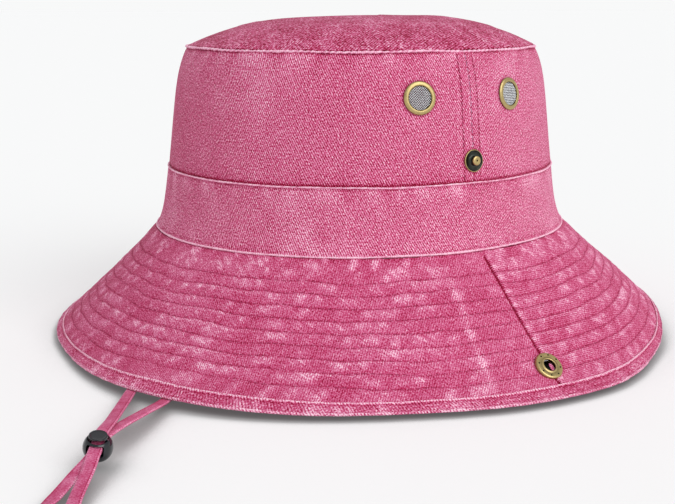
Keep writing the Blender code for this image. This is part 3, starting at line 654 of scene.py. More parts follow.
def make_strap():
    """The folded strip, its edges turned in and worn pale, with the fold's line along one side."""
    route = strap_route()
    spots, looks = [p for p, _ in route], [n for _, n in route]
    fine = 10
    points, facing = [], []
    for i in range(len(route) - 1):
        for f in np.arange(fine) / fine:
            points.append(smooth(spots, i, f))
            facing.append(looks[i].lerp(looks[i + 1], f))
    points.append(spots[-1])
    facing.append(looks[-1])
    path, facing = np.array(points), np.array(facing)
    ahead = unit(np.gradient(path, axis=0))
    wide = unit(np.cross(ahead, facing))
    thick = np.cross(wide, ahead)
    w, h = STRAP_W / 2 * 1.13, STRAP_T / 2 * 0.85
    reach = np.abs(wide[:, 2]) * w + np.abs(thick[:, 2]) * h
    path[:, 2] = np.maximum(path[:, 2], reach)  # it lies on the table, whichever way it faces
    near, bevel, crease, beyond = w - 0.12 * MM, w - 0.4 * MM, w - 0.62 * MM, w - 0.9 * MM
    # Section points are (across, up, wear, painted shade): shade is painted in the fold's crease and on the
    # underside.
    section = [(w, 0, 0.3, 0), (near, h * 0.6, 0.5, 0), (bevel, h, 0.6, 0), (crease, h * 0.86, 0, 0.6)]
    section += [(beyond, h, 0.1, 0.1), (w * 0.2, h * 1.04, 0.1, 0), (-w * 0.4, h * 1.02, 0.1, 0)]
    section += [(-bevel, h, 0.3, 0), (-near, h * 0.6, 0.8, 0), (-w, 0, 0.5, 0.1), (-near, -h * 0.6, 0.3, 0.2)]
    section += [(-bevel, -h, 0, 0.3), (0, -h, 0, 0.3), (bevel, -h, 0, 0.3), (near, -h * 0.6, 0.3, 0.2)]
    run = run_along(path)
    mottled = noise(run / (3.2 * MM), run * 0, 5) * 0.5 + noise(run / (1.3 * MM), run * 0, 6) * 0.5
    wear = np.broadcast_to(((mottled - 0.5) * 0.6)[:, None], (len(path), len(section)))
    strap = sweep("strap", path, wide, thick, section, strap_twill, layers={"wear": wear})
    settle(strap, "strap_cloth", "chin_strap")
    return strap, path, float(run[-1])


def apply_modifiers(ob, *cutters):
    graph = bpy.context.evaluated_depsgraph_get()
    mesh = bpy.data.meshes.new_from_object(ob.evaluated_get(graph))
    ob.modifiers.clear()
    ob.data = mesh
    for cutter in cutters:
        bpy.data.objects.remove(cutter)
    return ob


def cutter_box(name, size, centre, place, bevel):
    """A box with rounded edges, for cutting."""
    corners = [(x, y, z) for x in (-0.5, 0.5) for y in (-0.5, 0.5) for z in (-0.5, 0.5)]
    verts = [[c * s + m for c, s, m in zip(corner, size, centre)] for corner in corners]
    quads = [(0, 1, 3, 2), (4, 6, 7, 5), (0, 4, 5, 1), (2, 3, 7, 6), (0, 2, 6, 4), (1, 5, 7, 3)]
    ob = solid(name, lock_plastic, verts, quads)
    mod = ob.modifiers.new("round", "BEVEL")
    mod.width, mod.segments = bevel, 4
    apply_modifiers(ob)
    ob.data.transform(place)
    return ob


def cut_from(ob, *cutters):
    for cutter in cutters:
        mod = ob.modifiers.new(cutter.name, "BOOLEAN")
        mod.operation, mod.solver, mod.object = "DIFFERENCE", "EXACT", cutter
    apply_modifiers(ob, *cutters)
    ob.data.shade_smooth()
    ob.data.set_sharp_from_angle(angle=math.radians(50))
    return ob


def make_lock():
    place = lock_frame()
    well_r, mouth, ledge, pocket_r, well_floor = 3.4, 3.3, -3.5, 2.62, -4.2  # mm, as are all the profiles
    rise = np.linspace(-PI / 2, math.asin(mouth / BALL_R), 33)
    ball = [(BALL_R * math.cos(a) if k else 0.0, BALL_R * math.sin(a), 0.0) for k, a in enumerate(rise)]
    lip = [(well_r + 0.16, mouth + 0.05, 0.0), (well_r, mouth - 0.16, 0.2)]
    well = [(well_r, ledge, 0.6), (pocket_r, ledge, 0.6), (pocket_r, well_floor, 0.6), (0, well_floor, 0.6)]
    body = turned("lock_ball", ball + lip + well, place, lock_plastic, 72)
    passage = (CUT_LENGTH, PASSAGE_W, PASSAGE_H)
    cut_from(body, cutter_box("passage", passage, (0, 0, BUNDLE_H), place, 0.9 * MM))
    bottom, top, r = -1.6, 4.75, 3.15
    knob = [(0, bottom, 0.4), (r, bottom, 0.4), (r, 3.0, 0.1), (r, top, 0.0), (r - 0.55, top + 0.02, 0.0)]
    knob += [(r - 0.75, top - 0.1, 0.1), (0, top - 0.16, 0.0)]
    button = turned("lock_push_button", rounded(knob, 0.3, 4), place, lock_plastic, 72)
    slot_low, slot_high = BUNDLE_H - SLOT_H / 2, BUNDLE_H + SLOT_H / 2 + BUTTON_TRAVEL
    size = (CUT_LENGTH, SLOT_W, slot_high - slot_low)
    cut_from(button, cutter_box("button_slot", size, (0, 0, (slot_low + slot_high) / 2), place, 0.6 * MM))
    wire, coil_r, turns = 0.2, 2.3, 2.5
    start, stop = well_floor + 0.3 + wire, bottom - 0.3 - wire
    share = np.linspace(0, 1, 121)
    a = share * turns * TAU
    helix = np.stack((coil_r * np.cos(a), coil_r * np.sin(a), start + (stop - start) * share), -1) * MM
    spring = wire_piece("lock_coil", helix, wire * MM, place, spring_steel)
    settle(body, "lock_plastic", "cord_lock_body", body="cord_lock")
    settle(button, "lock_plastic", "cord_lock_button", body="lock_button")
    settle(spring, "spring_steel", "cord_lock_spring", body="cord_lock")
    axis, foot = place.to_3x3() @ UP, place @ Vector((0, 0, well_floor * MM))
    tuple(axis)
    tuple(foot)
    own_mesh(spring)
    return [body, button, spring]


strap, strap_path, strap_length = make_strap()
lock_pieces = make_lock()
tuple(strap_path[0])


# ---------------------------------------------------------------- brim
EDGE_R = 144  # mm, the brim's radius at its edge
BRIM_SHADED_SIDE = ((-112, 50, 1.0),)  # painted shade over the brim's side away from the key light
CONE = (EDGE_HALF[0] - JOINT_HALF[0]) / SLANT  # share of the slant that widens the brim


def row_wander(s, t):
    """How far the rows of stitching stray from their line, in mm down the brim."""
    v = s * SLANT_MM
    return 1.5 * (ring_noise(t, v, 23, 14, 3) - 0.5) + 1.2 * (ring_noise(t, v, 9, 9, 4) - 0.5)


def pillow(s, t):
    """Where a point lies between its two rows of stitching: (channel number, 0 to 1 across it)."""
    f = (s + row_wander(s, t) * MM / SLANT - ROW_FIRST) / ROW_STEP
    return np.floor(f), f - np.floor(f)


def socket_distance(s, t):
    """Distance in mm along the brim from the middle of the nearer snap socket."""
    turn = (t + PI / 2) % PI - PI / 2
    return np.hypot(turn * 135.0, (s * SLANT - SOCKET_SLANT) / MM)


def brim_relief(s, t, side=1):
    """Height in mm, paleness and painted shade of the brim's quilted cloth; side is -1 underneath."""
    v = s * SLANT_MM
    channel, f = pillow(s, t)
    seed = 10 if side > 0 else 60
    inside = (channel >= 0) & (channel < ROWS - 1)
    gap = np.minimum(f, 1 - f)
    gap = np.where(channel < 0, -(channel + f), gap)
    gap = np.where(channel >= ROWS - 1, channel + f - ROWS + 1, gap)
    gap = gap * ROW_STEP * SLANT_MM  # mm from the nearest row
    puff = 1 - np.exp(-gap / 1.1)
    drawn = np.exp(-gap / 2.6)
    # The stitching draws the cloth into small puckers, which run across each channel on their own.
    lean = v * 0.010
    row = channel * 17.3
    pucker = ring_noise(t + 0.05 * np.sin(row) + lean * 0.5, row + f * 2.0, 3.7, 4.0, seed + 1)
    small = rough(t - lean * 0.4, v, 2.0, seed + 2, shape=1.2)
    wide = ring_noise(t + lean, v, 38, 30, seed + 3)
    ridge = ring_noise(t + lean * 1.6, v, 5.0, 18, seed + 4)
    near_joint = smoothstep(0.17, 0.06, s)
    height = 0.25 * puff * (0.85 + 1.5 * (pucker - 0.5))
    height += 0.24 * (small - 0.5) * (0.5 + drawn)
    height += 0.8 * (wide - 0.5) * smoothstep(0.0, 0.25, s) * smoothstep(1.0, 0.85, s)
    height += 0.5 * near_joint * (ridge - 0.5) * smoothstep(0.0, 0.05, s)
    height -= 0.12 * bell(gap, 0, 0.42)
    # Paleness gathers on the tops of the puckers, in the upper half of each channel.
    streak = ring_noise(t - lean, v, 1.8, 5.5, seed + 9)
    top = smoothstep(0.44, 0.78, 0.5 * pucker + 0.3 * small + 0.2 * streak)
    across = np.where(inside, smoothstep(0.04, 0.22, f) * smoothstep(0.95, 0.45, f), puff)
    runs = smoothstep(0.5, 0.75, ring_noise(t + row, row, 21, 4.0, seed + 5))
    rim = bell(f, 0.17, 0.1) * inside
    wear = top * across * (0.2 + 0.45 * small + 0.4 * streak) + 0.4 * rim * runs
    creased = near_joint * smoothstep(0.56, 0.85, ridge) * smoothstep(0.02, 0.06, s)
    wear += creased * (0.2 + 0.35 * np.abs(np.sin(t + 0.6)) ** 4)
    wear *= 0.6 + 0.75 * rough(t, v, 26, seed + 6)
    height *= smoothstep(5.0, 8.0, socket_distance(s, t)) * 0.9 + 0.1
    dashes = smoothstep(0.25, 0.7, ring_noise(t + row, row, 1.7, 1.0, seed + 7))
    dashes *= 0.5 + 0.9 * rough(t, v, 30, seed + 8)
    # Painted shade along the stitched rows, in the puckers' hollows and along the joint under the hatband.
    deep = 0.42 * bell(gap, 0, 0.34) * (0.15 + dashes)
    deep += 0.1 * smoothstep(0.45, 0.15, pucker) + 0.4 * np.exp(-s * SLANT_MM / 1.3)
    # painted shade over the side away from the key light
    deep += 170 * strays(t, BRIM_SHADED_SIDE)
    wear, deep, height = side_seam(s, t, height, wear, deep, f, side)
    return bounded(height, wear, deep)


def side_seam(s, t, height, wear, deep, f, side):
    """The seam down each side of the brim: a dark line, with the back's folded edge worn pale beside it."""
    radius = (JOINT_HALF[0] + (EDGE_HALF[0] - JOINT_HALF[0]) * s) / MM
    for _, middle, facing in SIDES:
        away = ((t - middle + PI) % TAU - PI) * facing * radius  # mm, towards the back
        near = bell(away, 0, 6.0)
        line = bell(away, 0, 0.5) * smoothstep(0.03, 0.05, s)
        fold = smoothstep(0.15, 0.7, away) * smoothstep(5.5, 1.4, away)
        rub = smoothstep(0.25, 0.55, f) * smoothstep(1.02, 0.75, f)
        teeth = 0.55 + 0.45 * np.sin(s * SLANT_MM / 1.15 * TAU + 2.0 * ring_noise(t, s * 60, 30, 3, 77))
        height = height * (1 - 0.35 * near) + 0.32 * fold - 0.5 * line * (side > 0)
        paled = fold * (0.35 + 0.75 * rub) * teeth * (side > 0) * smoothstep(0.03, 0.1, s)
        wear = wear * (1 - 0.6 * near) + paled
        deep = deep + line * 1.25 * (side > 0)
    # The allowance inside shows as a rubbed ridge, which runs down the brim in front of the right seam.
    off = ((t + 0.205 + PI) % TAU - PI) * radius
    ridge = bell(off, 0, 1.9) * smoothstep(0.12, 0.2, s) * smoothstep(0.95, 0.88, s) * (side > 0)
    between = smoothstep(-1, 3, off) * smoothstep(0.5, -1.5, t * radius) * (side > 0)
    patchy = smoothstep(0.35, 0.7, ring_noise(t, s * SLANT_MM, 6, 4.5, 78))
    wear = wear * (1 - 0.55 * between) + ridge * (0.4 + 0.5 * patchy)
    return wear, deep * (1 - 0.35 * between), height * (1 - 0.3 * between) + 0.22 * ridge


def brim_uv(s, t):
    """The flat pattern of the front or back half of the brim, in metres."""
    front = (t <= 0) | (t >= PI)
    middle = np.where(front, np.where(t > PI, 1.5 * PI, -0.5 * PI), 0.5 * PI)
    flat_angle = (t - middle) * CONE
    point = brim(s, t)
    radius = np.hypot(point[..., 0], point[..., 1]) / CONE
    return np.stack((radius * np.sin(flat_angle), -radius * np.cos(flat_angle)), -1)


def brim_rows():
    """Shares of the slant for the mesh's rows, closest together at the stitching."""
    pitch = ROW_STEP * SLANT_MM
    rows = [0.2, 0.8] + list(np.arange(1.6, ROW_FIRST * SLANT_MM - 0.9, 0.95))
    for k in range(ROWS):
        start = (ROW_FIRST + k * ROW_STEP) * SLANT_MM
        rows += [start - 0.45, start - 0.15, start + 0.15, start + 0.45]
        rows += [start + pitch * f for f in (0.2, 0.36, 0.5, 0.64, 0.8)]
    end = 0.953 * SLANT_MM
    rows = sorted(r for r in rows if r < end) + [end]
    return np.array(rows) * MM / SLANT


def half_columns(side, count):
    """Angles across one half of the hat, with extra ones at its side seam."""
    middle = 0.0 if side == "right" else PI
    even = np.linspace(-PI / 2, PI / 2, count)
    extra = np.array([0.12, 0.26, 0.42, 0.65, 1.0, 1.5]) / MIDDLE_R
    even = even[(np.abs(even) > 1.7 / MIDDLE_R)]
    return middle + np.sort(np.concatenate((even, extra, -extra, [0.0])))


def bend_with_side(piece):
    """Bakes the piece's placement into its mesh."""
    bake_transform(piece)


def make_brim_half(side):
    s, t = np.meshgrid(brim_rows(), half_columns(side, 545), indexing="ij")
    height, wear, deep = brim_relief(s, t)
    low_height, low_wear, low_shade = brim_relief(s, t, -1)
    top, under = plies(brim, s, t, height * MM, BRIM_THICK + low_height * MM * 0.7)
    layers = {"wear": wear, "deep": deep}
    below = {"wear": low_wear * 0.7, "deep": low_shade}
    ob = slab(f"brim_{side}", top, under, brim_uv(s, t), layers, brim_twill, under_layers=below)
    bend_with_side(ob)
    end = "front" if side == "right" else "back"
    nodes = [f"brim_{ply}_cloth_{end}" for ply in ("top", "under")]
    nodes += [f"brim_{ply}_cloth_{side}_{half}" for ply in ("top", "under") for half in ("front", "back")]
    nodes += [f"brim_interlining_{side}"] + (["brim_interlining_centre"] if side == "right" else [])
    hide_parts(*nodes)


def stitches(name, path, n, material, length=2.5, pitch=3.1, radius=0.17, sink=0.22):
    """Separate stitches of thread along a path of surface points (metres), with normals n; sizes in mm."""
    run = run_along(path) / MM
    count = int(run[-1] / pitch)
    if not count:
        return None
    first = (np.arange(count) + 0.5) * pitch - length / 2
    at = first[:, None] + np.array([0.0, 0.12, 0.5, 0.88, 1.0]) * length
    arch = np.array([-1.0, -0.1, 0.55, -0.1, -1.0]) * sink
    centre, up = (np.stack([np.interp(at, run, of[:, k]) for k in range(3)], -1) for of in (path, n))
    up = unit(up)
    centre = centre + up * (arch * MM)[None, :, None]
    ahead = unit(np.gradient(centre, axis=1))
    wide = unit(np.cross(ahead, up))
    thick = np.cross(wide, ahead)
    sides = 5
    a = np.arange(sides) * TAU / sides
    swell = np.array([0.55, 1.0, 1.05, 1.0, 0.55]) * radius * MM
    ring = wide[:, :, None] * np.cos(a)[:, None] + thick[:, :, None] * np.sin(a)[:, None]
    points = centre[:, :, None, :] + ring * swell[:, None, None]
    base = np.arange(count)[:, None] * 5 * sides
    one = grid_quads(5, sides, True)
    quads = base[:, :, None] + one[None]
    tris = []
    for last, tri in ((last, tri) for last in (0, 1) for tri in ((0, 1, 2), (0, 2, 3), (0, 3, 4))):
        tris.append(base + last * 4 * sides + np.array(tri if last else tri[::-1]))
    uv = np.stack(np.broadcast_arrays(at[:, :, None] * MM, a * radius * MM), -1)
    return solid(name, material, points, quads, uv, None, np.concatenate(tris))


def make_brim_stitching(side):
    """Nine rows of thread through the brim, seen above and below."""
    parts = []
    for k in range(ROWS):
        t = half_columns(side, 420)
        s = np.full_like(t, ROW_FIRST + k * ROW_STEP)
        for _ in range(3):  # follow the row where it strays
            s = ROW_FIRST + k * ROW_STEP - row_wander(s, t) * MM / SLANT
        n = outward(brim, s, t)
        for face in (1, -1):
            height = brim_relief(s, t, face)[0] * MM
            level = height if face > 0 else -(BRIM_THICK + height * 0.7)
            path = brim(s, t) + n * level[:, None]
            parts.append(stitches(f"row_{side}_{k}_{face}", path, n * face, thread_pink, radius=0.15, sink=0.16))
    ob = join(f"brim_stitching_{side}", parts)
    bend_with_side(ob)


def make_binding_half(side):
    """The strip folded over the edge: a worn bead at its lip, a puckered face, flat where it rests."""
    t = half_columns(side, 760)
    # Rows of (share of the slant, height in mm, wear, painted shade), the turn's rows with mm outwards and up
    # instead; shade is painted in the gap behind the bead and underneath.
    lip = [
        (0.9315, -0.15, 0.0, 0.9), (0.9308, 0.25, 0.2, 0.9), (0.9318, 0.6, 1.0, 0.0),
        (0.9345, 0.86, 1.0, 0.0),
        (0.9385, 0.86, 1.0, 0.0), (0.942, 0.68, 0.5, 0.2), (0.946, 0.5, 0.0, 0.5), (0.952, 0.55, 0.1, 0.2),
        (0.960, 0.66, 0.2, 0.0), (0.969, 0.72, 0.25, 0.0), (0.979, 0.72, 0.3, 0.0), (0.989, 0.6, 0.4, 0.0),
    ]
    turn = [(0.30, 1.25, 0.5, 0), (0.45, 0.8, 0.6, 0), (0.38, 0.35, 0.5, 0), (0.1, 0.05, 0.4, 0)]
    turn += [(-0.6, 0.0, 0.2, 0.1), (-2.4, 0.0, 0.1, 0.1), (-4.2, 0.0, 0.1, 0.2)]
    back = [(0.938, -2.95, 0.5, 0), (0.933, -2.5, 0.2, 0.5), (0.936, -2.12, 0, 0.8)]
    back += [(0.955, -1.9, 0, 0.8), (0.955, -0.2, 0, 0.8)]
    m = len(lip) + len(turn) + len(back)
    rings = np.zeros((len(t), m, 3))
    wear, deep = np.zeros((len(t), m)), np.zeros((len(t), m))
    edge, floor = brim(1.0, t), strays(t, LIFTS)
    away = unit(np.stack((edge[:, 0], edge[:, 1], np.zeros_like(t)), -1))
    coarse = rough(t, np.zeros_like(t), 7.5, 21, EDGE_R)
    for k, (s, h, w, d) in enumerate(lip):
        face, slant = s > 0.945, s * SLANT_MM
        fine = ring_noise(t - (s - 0.935) * 0.22, t * 0 + slant * 0.3, 2.3, 6.0, 22, EDGE_R)
        bump = 0.28 * (coarse - 0.5) + 0.2 * (fine - 0.5) if face else 0.14 * (fine - 0.5)
        drift = 0.35 * (ring_noise(t, t * 0, 14, 9, 26, EDGE_R) - 0.5) * MM / SLANT if s < 0.95 else 0.0
        n = outward(brim, np.full_like(t, s), t)
        rings[:, k] = brim(s + drift, t) + n * ((h + bump) * MM)[:, None]
        pale = smoothstep(0.5, 0.85, 0.55 * coarse + 0.45 * fine) if face else 0.8 + 0.2 * fine
        wear[:, k] = np.clip(w * pale + (0.16 * pale if face else 0), 0, 1)
        # painted shade in the face's hollows, on top of the rows' own
        deep[:, k] = np.clip(d + (0.15 * smoothstep(0.45, 0.2, coarse) if face else 0), 0, 1)
    for k, (out, z, w, d) in enumerate(turn, len(lip)):
        fine = ring_noise(t, t * 0, 2.6, 5.0, 23, EDGE_R)
        swell = 0.35 * (coarse - 0.5) + 0.25 * (fine - 0.5) if z > 0 else 0.0
        rings[:, k] = edge + away * ((out + swell) * MM * np.ones_like(t))[:, None]
        rings[:, k, 2] = floor + z * MM
        wear[:, k] = np.clip(w * (0.3 + 0.9 * fine) + 0.3 * smoothstep(0.5, 0.8, coarse), 0, 1)
        deep[:, k] = d
    for k, (s, h, w, d) in enumerate(back, len(lip) + len(turn)):
        n = outward(brim, np.full_like(t, s), t)
        rings[:, k] = brim(s, t) + n * h * MM
        rings[:, k, 2] = np.maximum(rings[:, k, 2], floor)
        wear[:, k], deep[:, k] = w, d
    run = (t + TAU) * 0.1448
    uv = np.stack(np.broadcast_arrays(run[:, None], -run_along(rings[0])[None, :]), -1)
    ob = loft(f"edge_binding_{side}", rings, uv, {"wear": wear, "deep": deep}, binding_twill)
    bend_with_side(ob)
    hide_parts(f"brim_binding_{side}", "brim_binding_front" if side == "right" else "brim_binding_back")


for hat_side in ("right", "left"):
    make_brim_half(hat_side)
    make_brim_stitching(hat_side)
    make_binding_half(hat_side)


# ---------------------------------------------------------------- crown and hatband
SEAM_LINES = (-4.3, 3.4)  # mm either side of the side seam, towards the back
SIDE_R = 84  # mm, the crown's radius half way up
EYELET_HOLE = 5.7  # mm, the holes' radius
SHADED_SIDE, LIT_SIDE = ((-112, 55, 1.0),), ((32, 45, 1.0),)  # painted shade over the side away from the key light, and a painted highlight over the side towards it


def seam_distance(t, radius):
    """Signed mm from the nearer side seam, positive towards the back."""
    right = (t + PI) % TAU - PI
    return np.where(np.abs(right) < PI / 2, right, PI - t % TAU) * radius / MM


def fitting_distance(z, t, y, height):
    """Distance in mm from a fitting's middle, along the cloth, on either side of the hat."""
    wx, wy = ring_at(np.asarray(height))
    angle = math.asin(y / float(wy))
    away = seam_distance(t, float(wx))
    return np.hypot(away - angle * float(wx) / MM, (z - height) / MM)


def crown_relief(z, t):
    """Height in mm, paleness and painted shade of the crown's side, with a painted highlight over its lit side."""
    below_rim, above_band = (RIM_Z - z) / MM, (z - BAND_Z) / MM
    height = 0.55 * (rough(t, z / MM, 44, 101, 82, 0.8) - 0.5)
    gather = ring_noise(t + below_rim * 0.006, below_rim, 4.4, 13, 102, 78)
    gather2 = ring_noise(t - below_rim * 0.004, below_rim, 7.5, 20, 103, 78)
    at_rim, at_band = np.exp(-below_rim / 4.5), np.exp(-above_band / 4.0)
    height += 0.85 * at_rim * (0.6 * gather + 0.4 * gather2 - 0.5)
    low_gather = ring_noise(t, above_band, 4.8, 12, 104, 90)
    height += 0.45 * at_band * (low_gather - 0.5)
    height -= 0.35 * bell(below_rim, 0, 1.1) + 0.35 * bell(above_band, 0.3, 0.8)
    wear = 0.5 * at_rim * smoothstep(0.45, 0.85, gather) * smoothstep(0.6, 1.8, below_rim)
    wear += 0.22 * smoothstep(0.55, 0.9, rough(t, z / MM, 23, 105, 82, 1.4))
    wear += 0.3 * at_band * smoothstep(0.5, 0.85, low_gather) * smoothstep(0.8, 2.5, above_band)
    # Painted shade under the rim's ridge, in the gathers' hollows, above the band's ridge, round the eyelets and
    # the stud, and over the side away from the key light; the seam's lines are drawn darker as well.
    deep = 0.8 * bell(below_rim, 0.4, 1.0) + 0.3 * at_rim * smoothstep(0.5, 0.2, gather)
    deep += 0.75 * bell(above_band, 0.45, 0.5) + 0.3 * np.exp(-above_band / 2.2)
    away, (front, back) = seam_distance(t, SIDE_R * MM), SEAM_LINES
    plateau = smoothstep(front - 0.5, front + 0.3, away) * smoothstep(back + 0.5, back - 0.3, away)
    teeth = ring_noise(t * 0, z / MM, 3, 2.6, 106)
    height += plateau * (0.28 + 0.22 * (teeth - 0.5))
    for line in SEAM_LINES:
        near = bell(away, line, 0.34)
        height -= 0.12 * near
        deep += near * (0.3 + 0.14 * np.sign(line) + 0.5 * (teeth - 0.5))
        wear += 0.25 * bell(away, line + 1.2 * np.sign(line), 0.9) * smoothstep(0.45, 0.8, teeth)
    middle = bell(away, 0, 0.3)
    height -= 0.22 * middle
    deep += 0.4 * middle
    wear += 0.5 * bell(away, -0.65, 0.4) * smoothstep(0.3, 0.8, teeth)
    for y in (-EYELET_Y, EYELET_Y):
        r = fitting_distance(z, t, y, EYELET_Z)
        height -= 0.35 * bell(r, 6.6, 1.1)
        deep += 0.3 * bell(r, 6.9, 0.6)
    r = fitting_distance(z, t, 0.0, STUD_Z)
    height = np.where(r < 5.2, height * smoothstep(3.0, 5.2, r) - 0.1 * smoothstep(5.2, 4.0, r), height)
    deep += 0.3 * bell(r, 4.6, 0.7)
    # painted shade over the side away from the key light, painted highlight over the side towards it
    deep += 220 * strays(t, SHADED_SIDE)
    wear += 120 * strays(t, LIT_SIDE)
    return bounded(height, wear, deep)


def side_uv(z, t):
    """The side's flat pattern: mm round it, from the front's or back's middle, and up it."""
    front = np.sin(t) < 0
    middle = np.where(front, np.where(t > PI, 1.5 * PI, -0.5 * PI), 0.5 * PI)
    return np.stack(np.broadcast_arrays((t - middle) * 0.0845 + np.where(front, 0, 1.0), z), -1)


def make_crown_panel(end):
    start, stop = (-PI, 0.0) if end == "front" else (0.0, PI)
    seam = 0.05 / SIDE_R
    spots = (0.2, 0.5, 0.65, 0.85, 1, 1.4, 2.0, 2.6, 3.1, 3.4, 3.6, 3.7, 4, 4.2, 4.3, 4.6, 5)  # mm from the seam
    even = np.linspace(start + 5.6 / SIDE_R, stop - 5.6 / SIDE_R, 440)
    ends = np.round(np.array(spots) / SIDE_R, 5)
    cols = np.sort(np.concatenate((even, start + seam + ends, stop - seam - ends, [start + seam, stop - seam])))
    low = np.concatenate((np.arange(0, 2.4, 0.3), np.arange(2.4, 46, 0.78), np.arange(46, 54.0, 0.42)))
    z, t = np.meshgrid(BAND_Z + low * MM, cols, indexing="ij")
    height, wear, deep = crown_relief(z, t)
    top, under = plies(wall, z, t, height * MM, CLOTH - 0.25 * np.minimum(height, 0) * MM)
    centre_z, centre_t = (z[:-1, :-1] + z[1:, 1:]) / 2, (t[:-1, :-1] + t[1:, 1:]) / 2
    y = -EYELET_Y if end == "front" else EYELET_Y
    holes = fitting_distance(centre_z, centre_t, y, EYELET_Z) < EYELET_HOLE
    ob = slab(f"crown_{end}", top, under, side_uv(z, t), {"wear": wear, "deep": deep}, crown_twill, holes=holes)
    settle(ob, "crown_twill", f"crown_{end}_panel")


def band_relief(z, t):
    up, down = (BAND_Z - z) / MM, (z - JOINT_Z) / MM
    height = 0.2 + 0.5 * (rough(t, z / MM, 40, 121, 90, 0.6) - 0.5)
    gather = ring_noise(t - up * 0.004, up, 5.0, 11, 122, 90)
    low = ring_noise(t, down, 6.0, 12, 123, 96)
    height += 0.5 * np.exp(-up / 4.0) * (gather - 0.5) + 0.4 * np.exp(-down / 4.0) * (low - 0.5)
    height -= 0.25 * bell(up, 1.3, 0.5) + 0.2 * bell(down, 1.6, 0.5)
    wear = 0.55 * np.exp(-up / 5.0) * smoothstep(0.5, 0.8, gather)
    wear += 0.3 * np.exp(-down / 5.0) * smoothstep(0.5, 0.8, low)
    wear += 0.25 * smoothstep(0.5, 0.85, rough(t, z / MM, 19, 125, 90, 1.5))
    # Painted shade just under the hatband's top edge and just above the joint, in the gathers' hollows, and over
    # the side away from the key light; the side towards it gets a painted highlight.
    deep = 0.3 * bell(up, 1.3, 0.45) + 0.25 * bell(down, 1.6, 0.5)
    deep += 0.2 * np.exp(-up / 4.0) * smoothstep(0.5, 0.25, gather) + 150 * strays(t, SHADED_SIDE)
    wear += 120 * strays(t, LIT_SIDE)
    return bounded(height, wear, deep)


def make_hatband():
    cols = np.linspace(0, TAU, 961)[:-1]
    rows = np.concatenate((np.arange(0.2, 3, 0.35), np.arange(3, 25.5, 0.8), np.arange(25.5, 28.3, 0.35)))
    z, t = np.meshgrid(JOINT_Z + rows * MM, cols, indexing="ij")
    height, wear, deep = band_relief(z, t)
    top, under = plies(wall, z, t, height * MM, np.full_like(t, CLOTH))
    uv = np.stack((t * 0.0905, z), -1)
    ob = slab("hatband_cloth", top, under, uv, {"wear": wear, "deep": deep}, band_twill, wrap=True)
    settle(ob, "crown_twill", "hatband")


TIP_HIGH = math.radians(57)  # the tip stands a little higher towards this angle


def tip_relief(rho, t):
    x, y = rho * np.cos(t), rho * np.sin(t)
    in_from_rim = (1 - rho) * 79
    slow = noise(x * 1.9 + 5, y * 1.9 + 9, 141) * 0.6 + noise(x * 4.1, y * 4.1, 142) * 0.4
    height = 1.1 * (slow - 0.5) * smoothstep(1.0, 0.8, rho)
    height += 1.8 * rho * np.cos(t - TIP_HIGH) * (1 - rho**2)
    gather = ring_noise(t + in_from_rim * 0.004, in_from_rim, 5.0, 15, 143, 79)
    height += 0.6 * np.exp(-in_from_rim / 5) * (gather - 0.5)
    crease = noise(x * 2.2 + y * 4.0 + 3, y * 1.2 - x * 0.7, 144)
    fold = bell(crease, 0.5, 0.025)
    streak = noise(x * 3.4 - y * 1.1, x * 16 + y * 30, 145)
    wear = 0.3 * fold + 0.28 * smoothstep(0.55, 0.85, streak)
    wear += 0.4 * np.exp(-in_from_rim / 4) * smoothstep(0.5, 0.8, gather)
    # Painted shade at the rim's edge and in the tip's low hollows.
    deep = 0.5 * bell(in_from_rim, 0, 0.9) + 0.12 * smoothstep(0.5, 0.2, slow)
    height += 0.25 * fold
    return bounded(height, wear, deep)


def make_tip():
    shares = np.concatenate((np.linspace(0.004, 0.9, 66), np.linspace(0.9, 0.995, 14)[1:]))
    rho, t = np.meshgrid(shares, np.linspace(0, TAU, 541)[:-1], indexing="ij")
    height, wear, deep = tip_relief(rho, t)
    top, under = plies(dome, rho, t, height * MM, np.full_like(t, CLOTH))
    uv = top[..., :2]
    ob = slab("crown_top", top, under, uv, {"wear": wear, "deep": deep}, tip_twill, wrap=True)
    settle(ob, "crown_twill", "crown_tip")


def ring_ridge(name, path, out, up, size, seed, twist, wear_bias=0.0, radius=90.0, count=1300, shade_below=0.7):
    """The rolled and worn edge of a seam: a cord of cloth, pinched by its stitches, paler on its outer upper face
    from wear and a painted highlight, with painted shade underneath.
    """
    t = np.linspace(0, TAU, count + 1)[:-1]
    points, n, axis = path(t), out(t), up(t)
    sides = 12
    a = np.arange(sides) * TAU / sides
    run = run_along(points) / MM
    pinch = ring_noise(t, t * 0, 2.7, 3.0, seed, radius)
    slow = ring_noise(t, t * 0, 8.0, 3.0, seed + 1, radius)
    helix = np.sin(run[:, None] / 2.7 * TAU - a[None, :] + 5 * pinch[:, None])
    widths = 1 + 0.16 * twist * helix + 0.35 * (pinch - 0.5)[:, None] + 0.3 * (slow - 0.5)[:, None]
    section = []
    # Each section point pales with wear and a painted highlight on the outer upper face, and gets painted shade
    # underneath.
    for angle in a:
        under = max(0.0, -math.sin(angle))
        face = max(0.0, math.cos(angle) * 0.8 + math.sin(angle) * 0.6)
        x, y = size * math.cos(angle), size * 0.92 * math.sin(angle)
        section.append((x, y, 0.45 + 0.55 * face, shade_below * under))
    wear = wear_bias + 0.22 * twist * helix + 0.6 * (pinch - 0.5)[:, None] + 0.3 * (slow - 0.5)[:, None]
    ob = sweep(name, points, n, axis, section, ridge_twill, closed=True, layers={"wear": wear}, widths=widths)
    settle(ob, "crown_twill")


def stray(t, seed, amount, radius=90.0):
    return amount * MM * (ring_noise(t, t * 0, 17, 5, seed, radius) - 0.5)


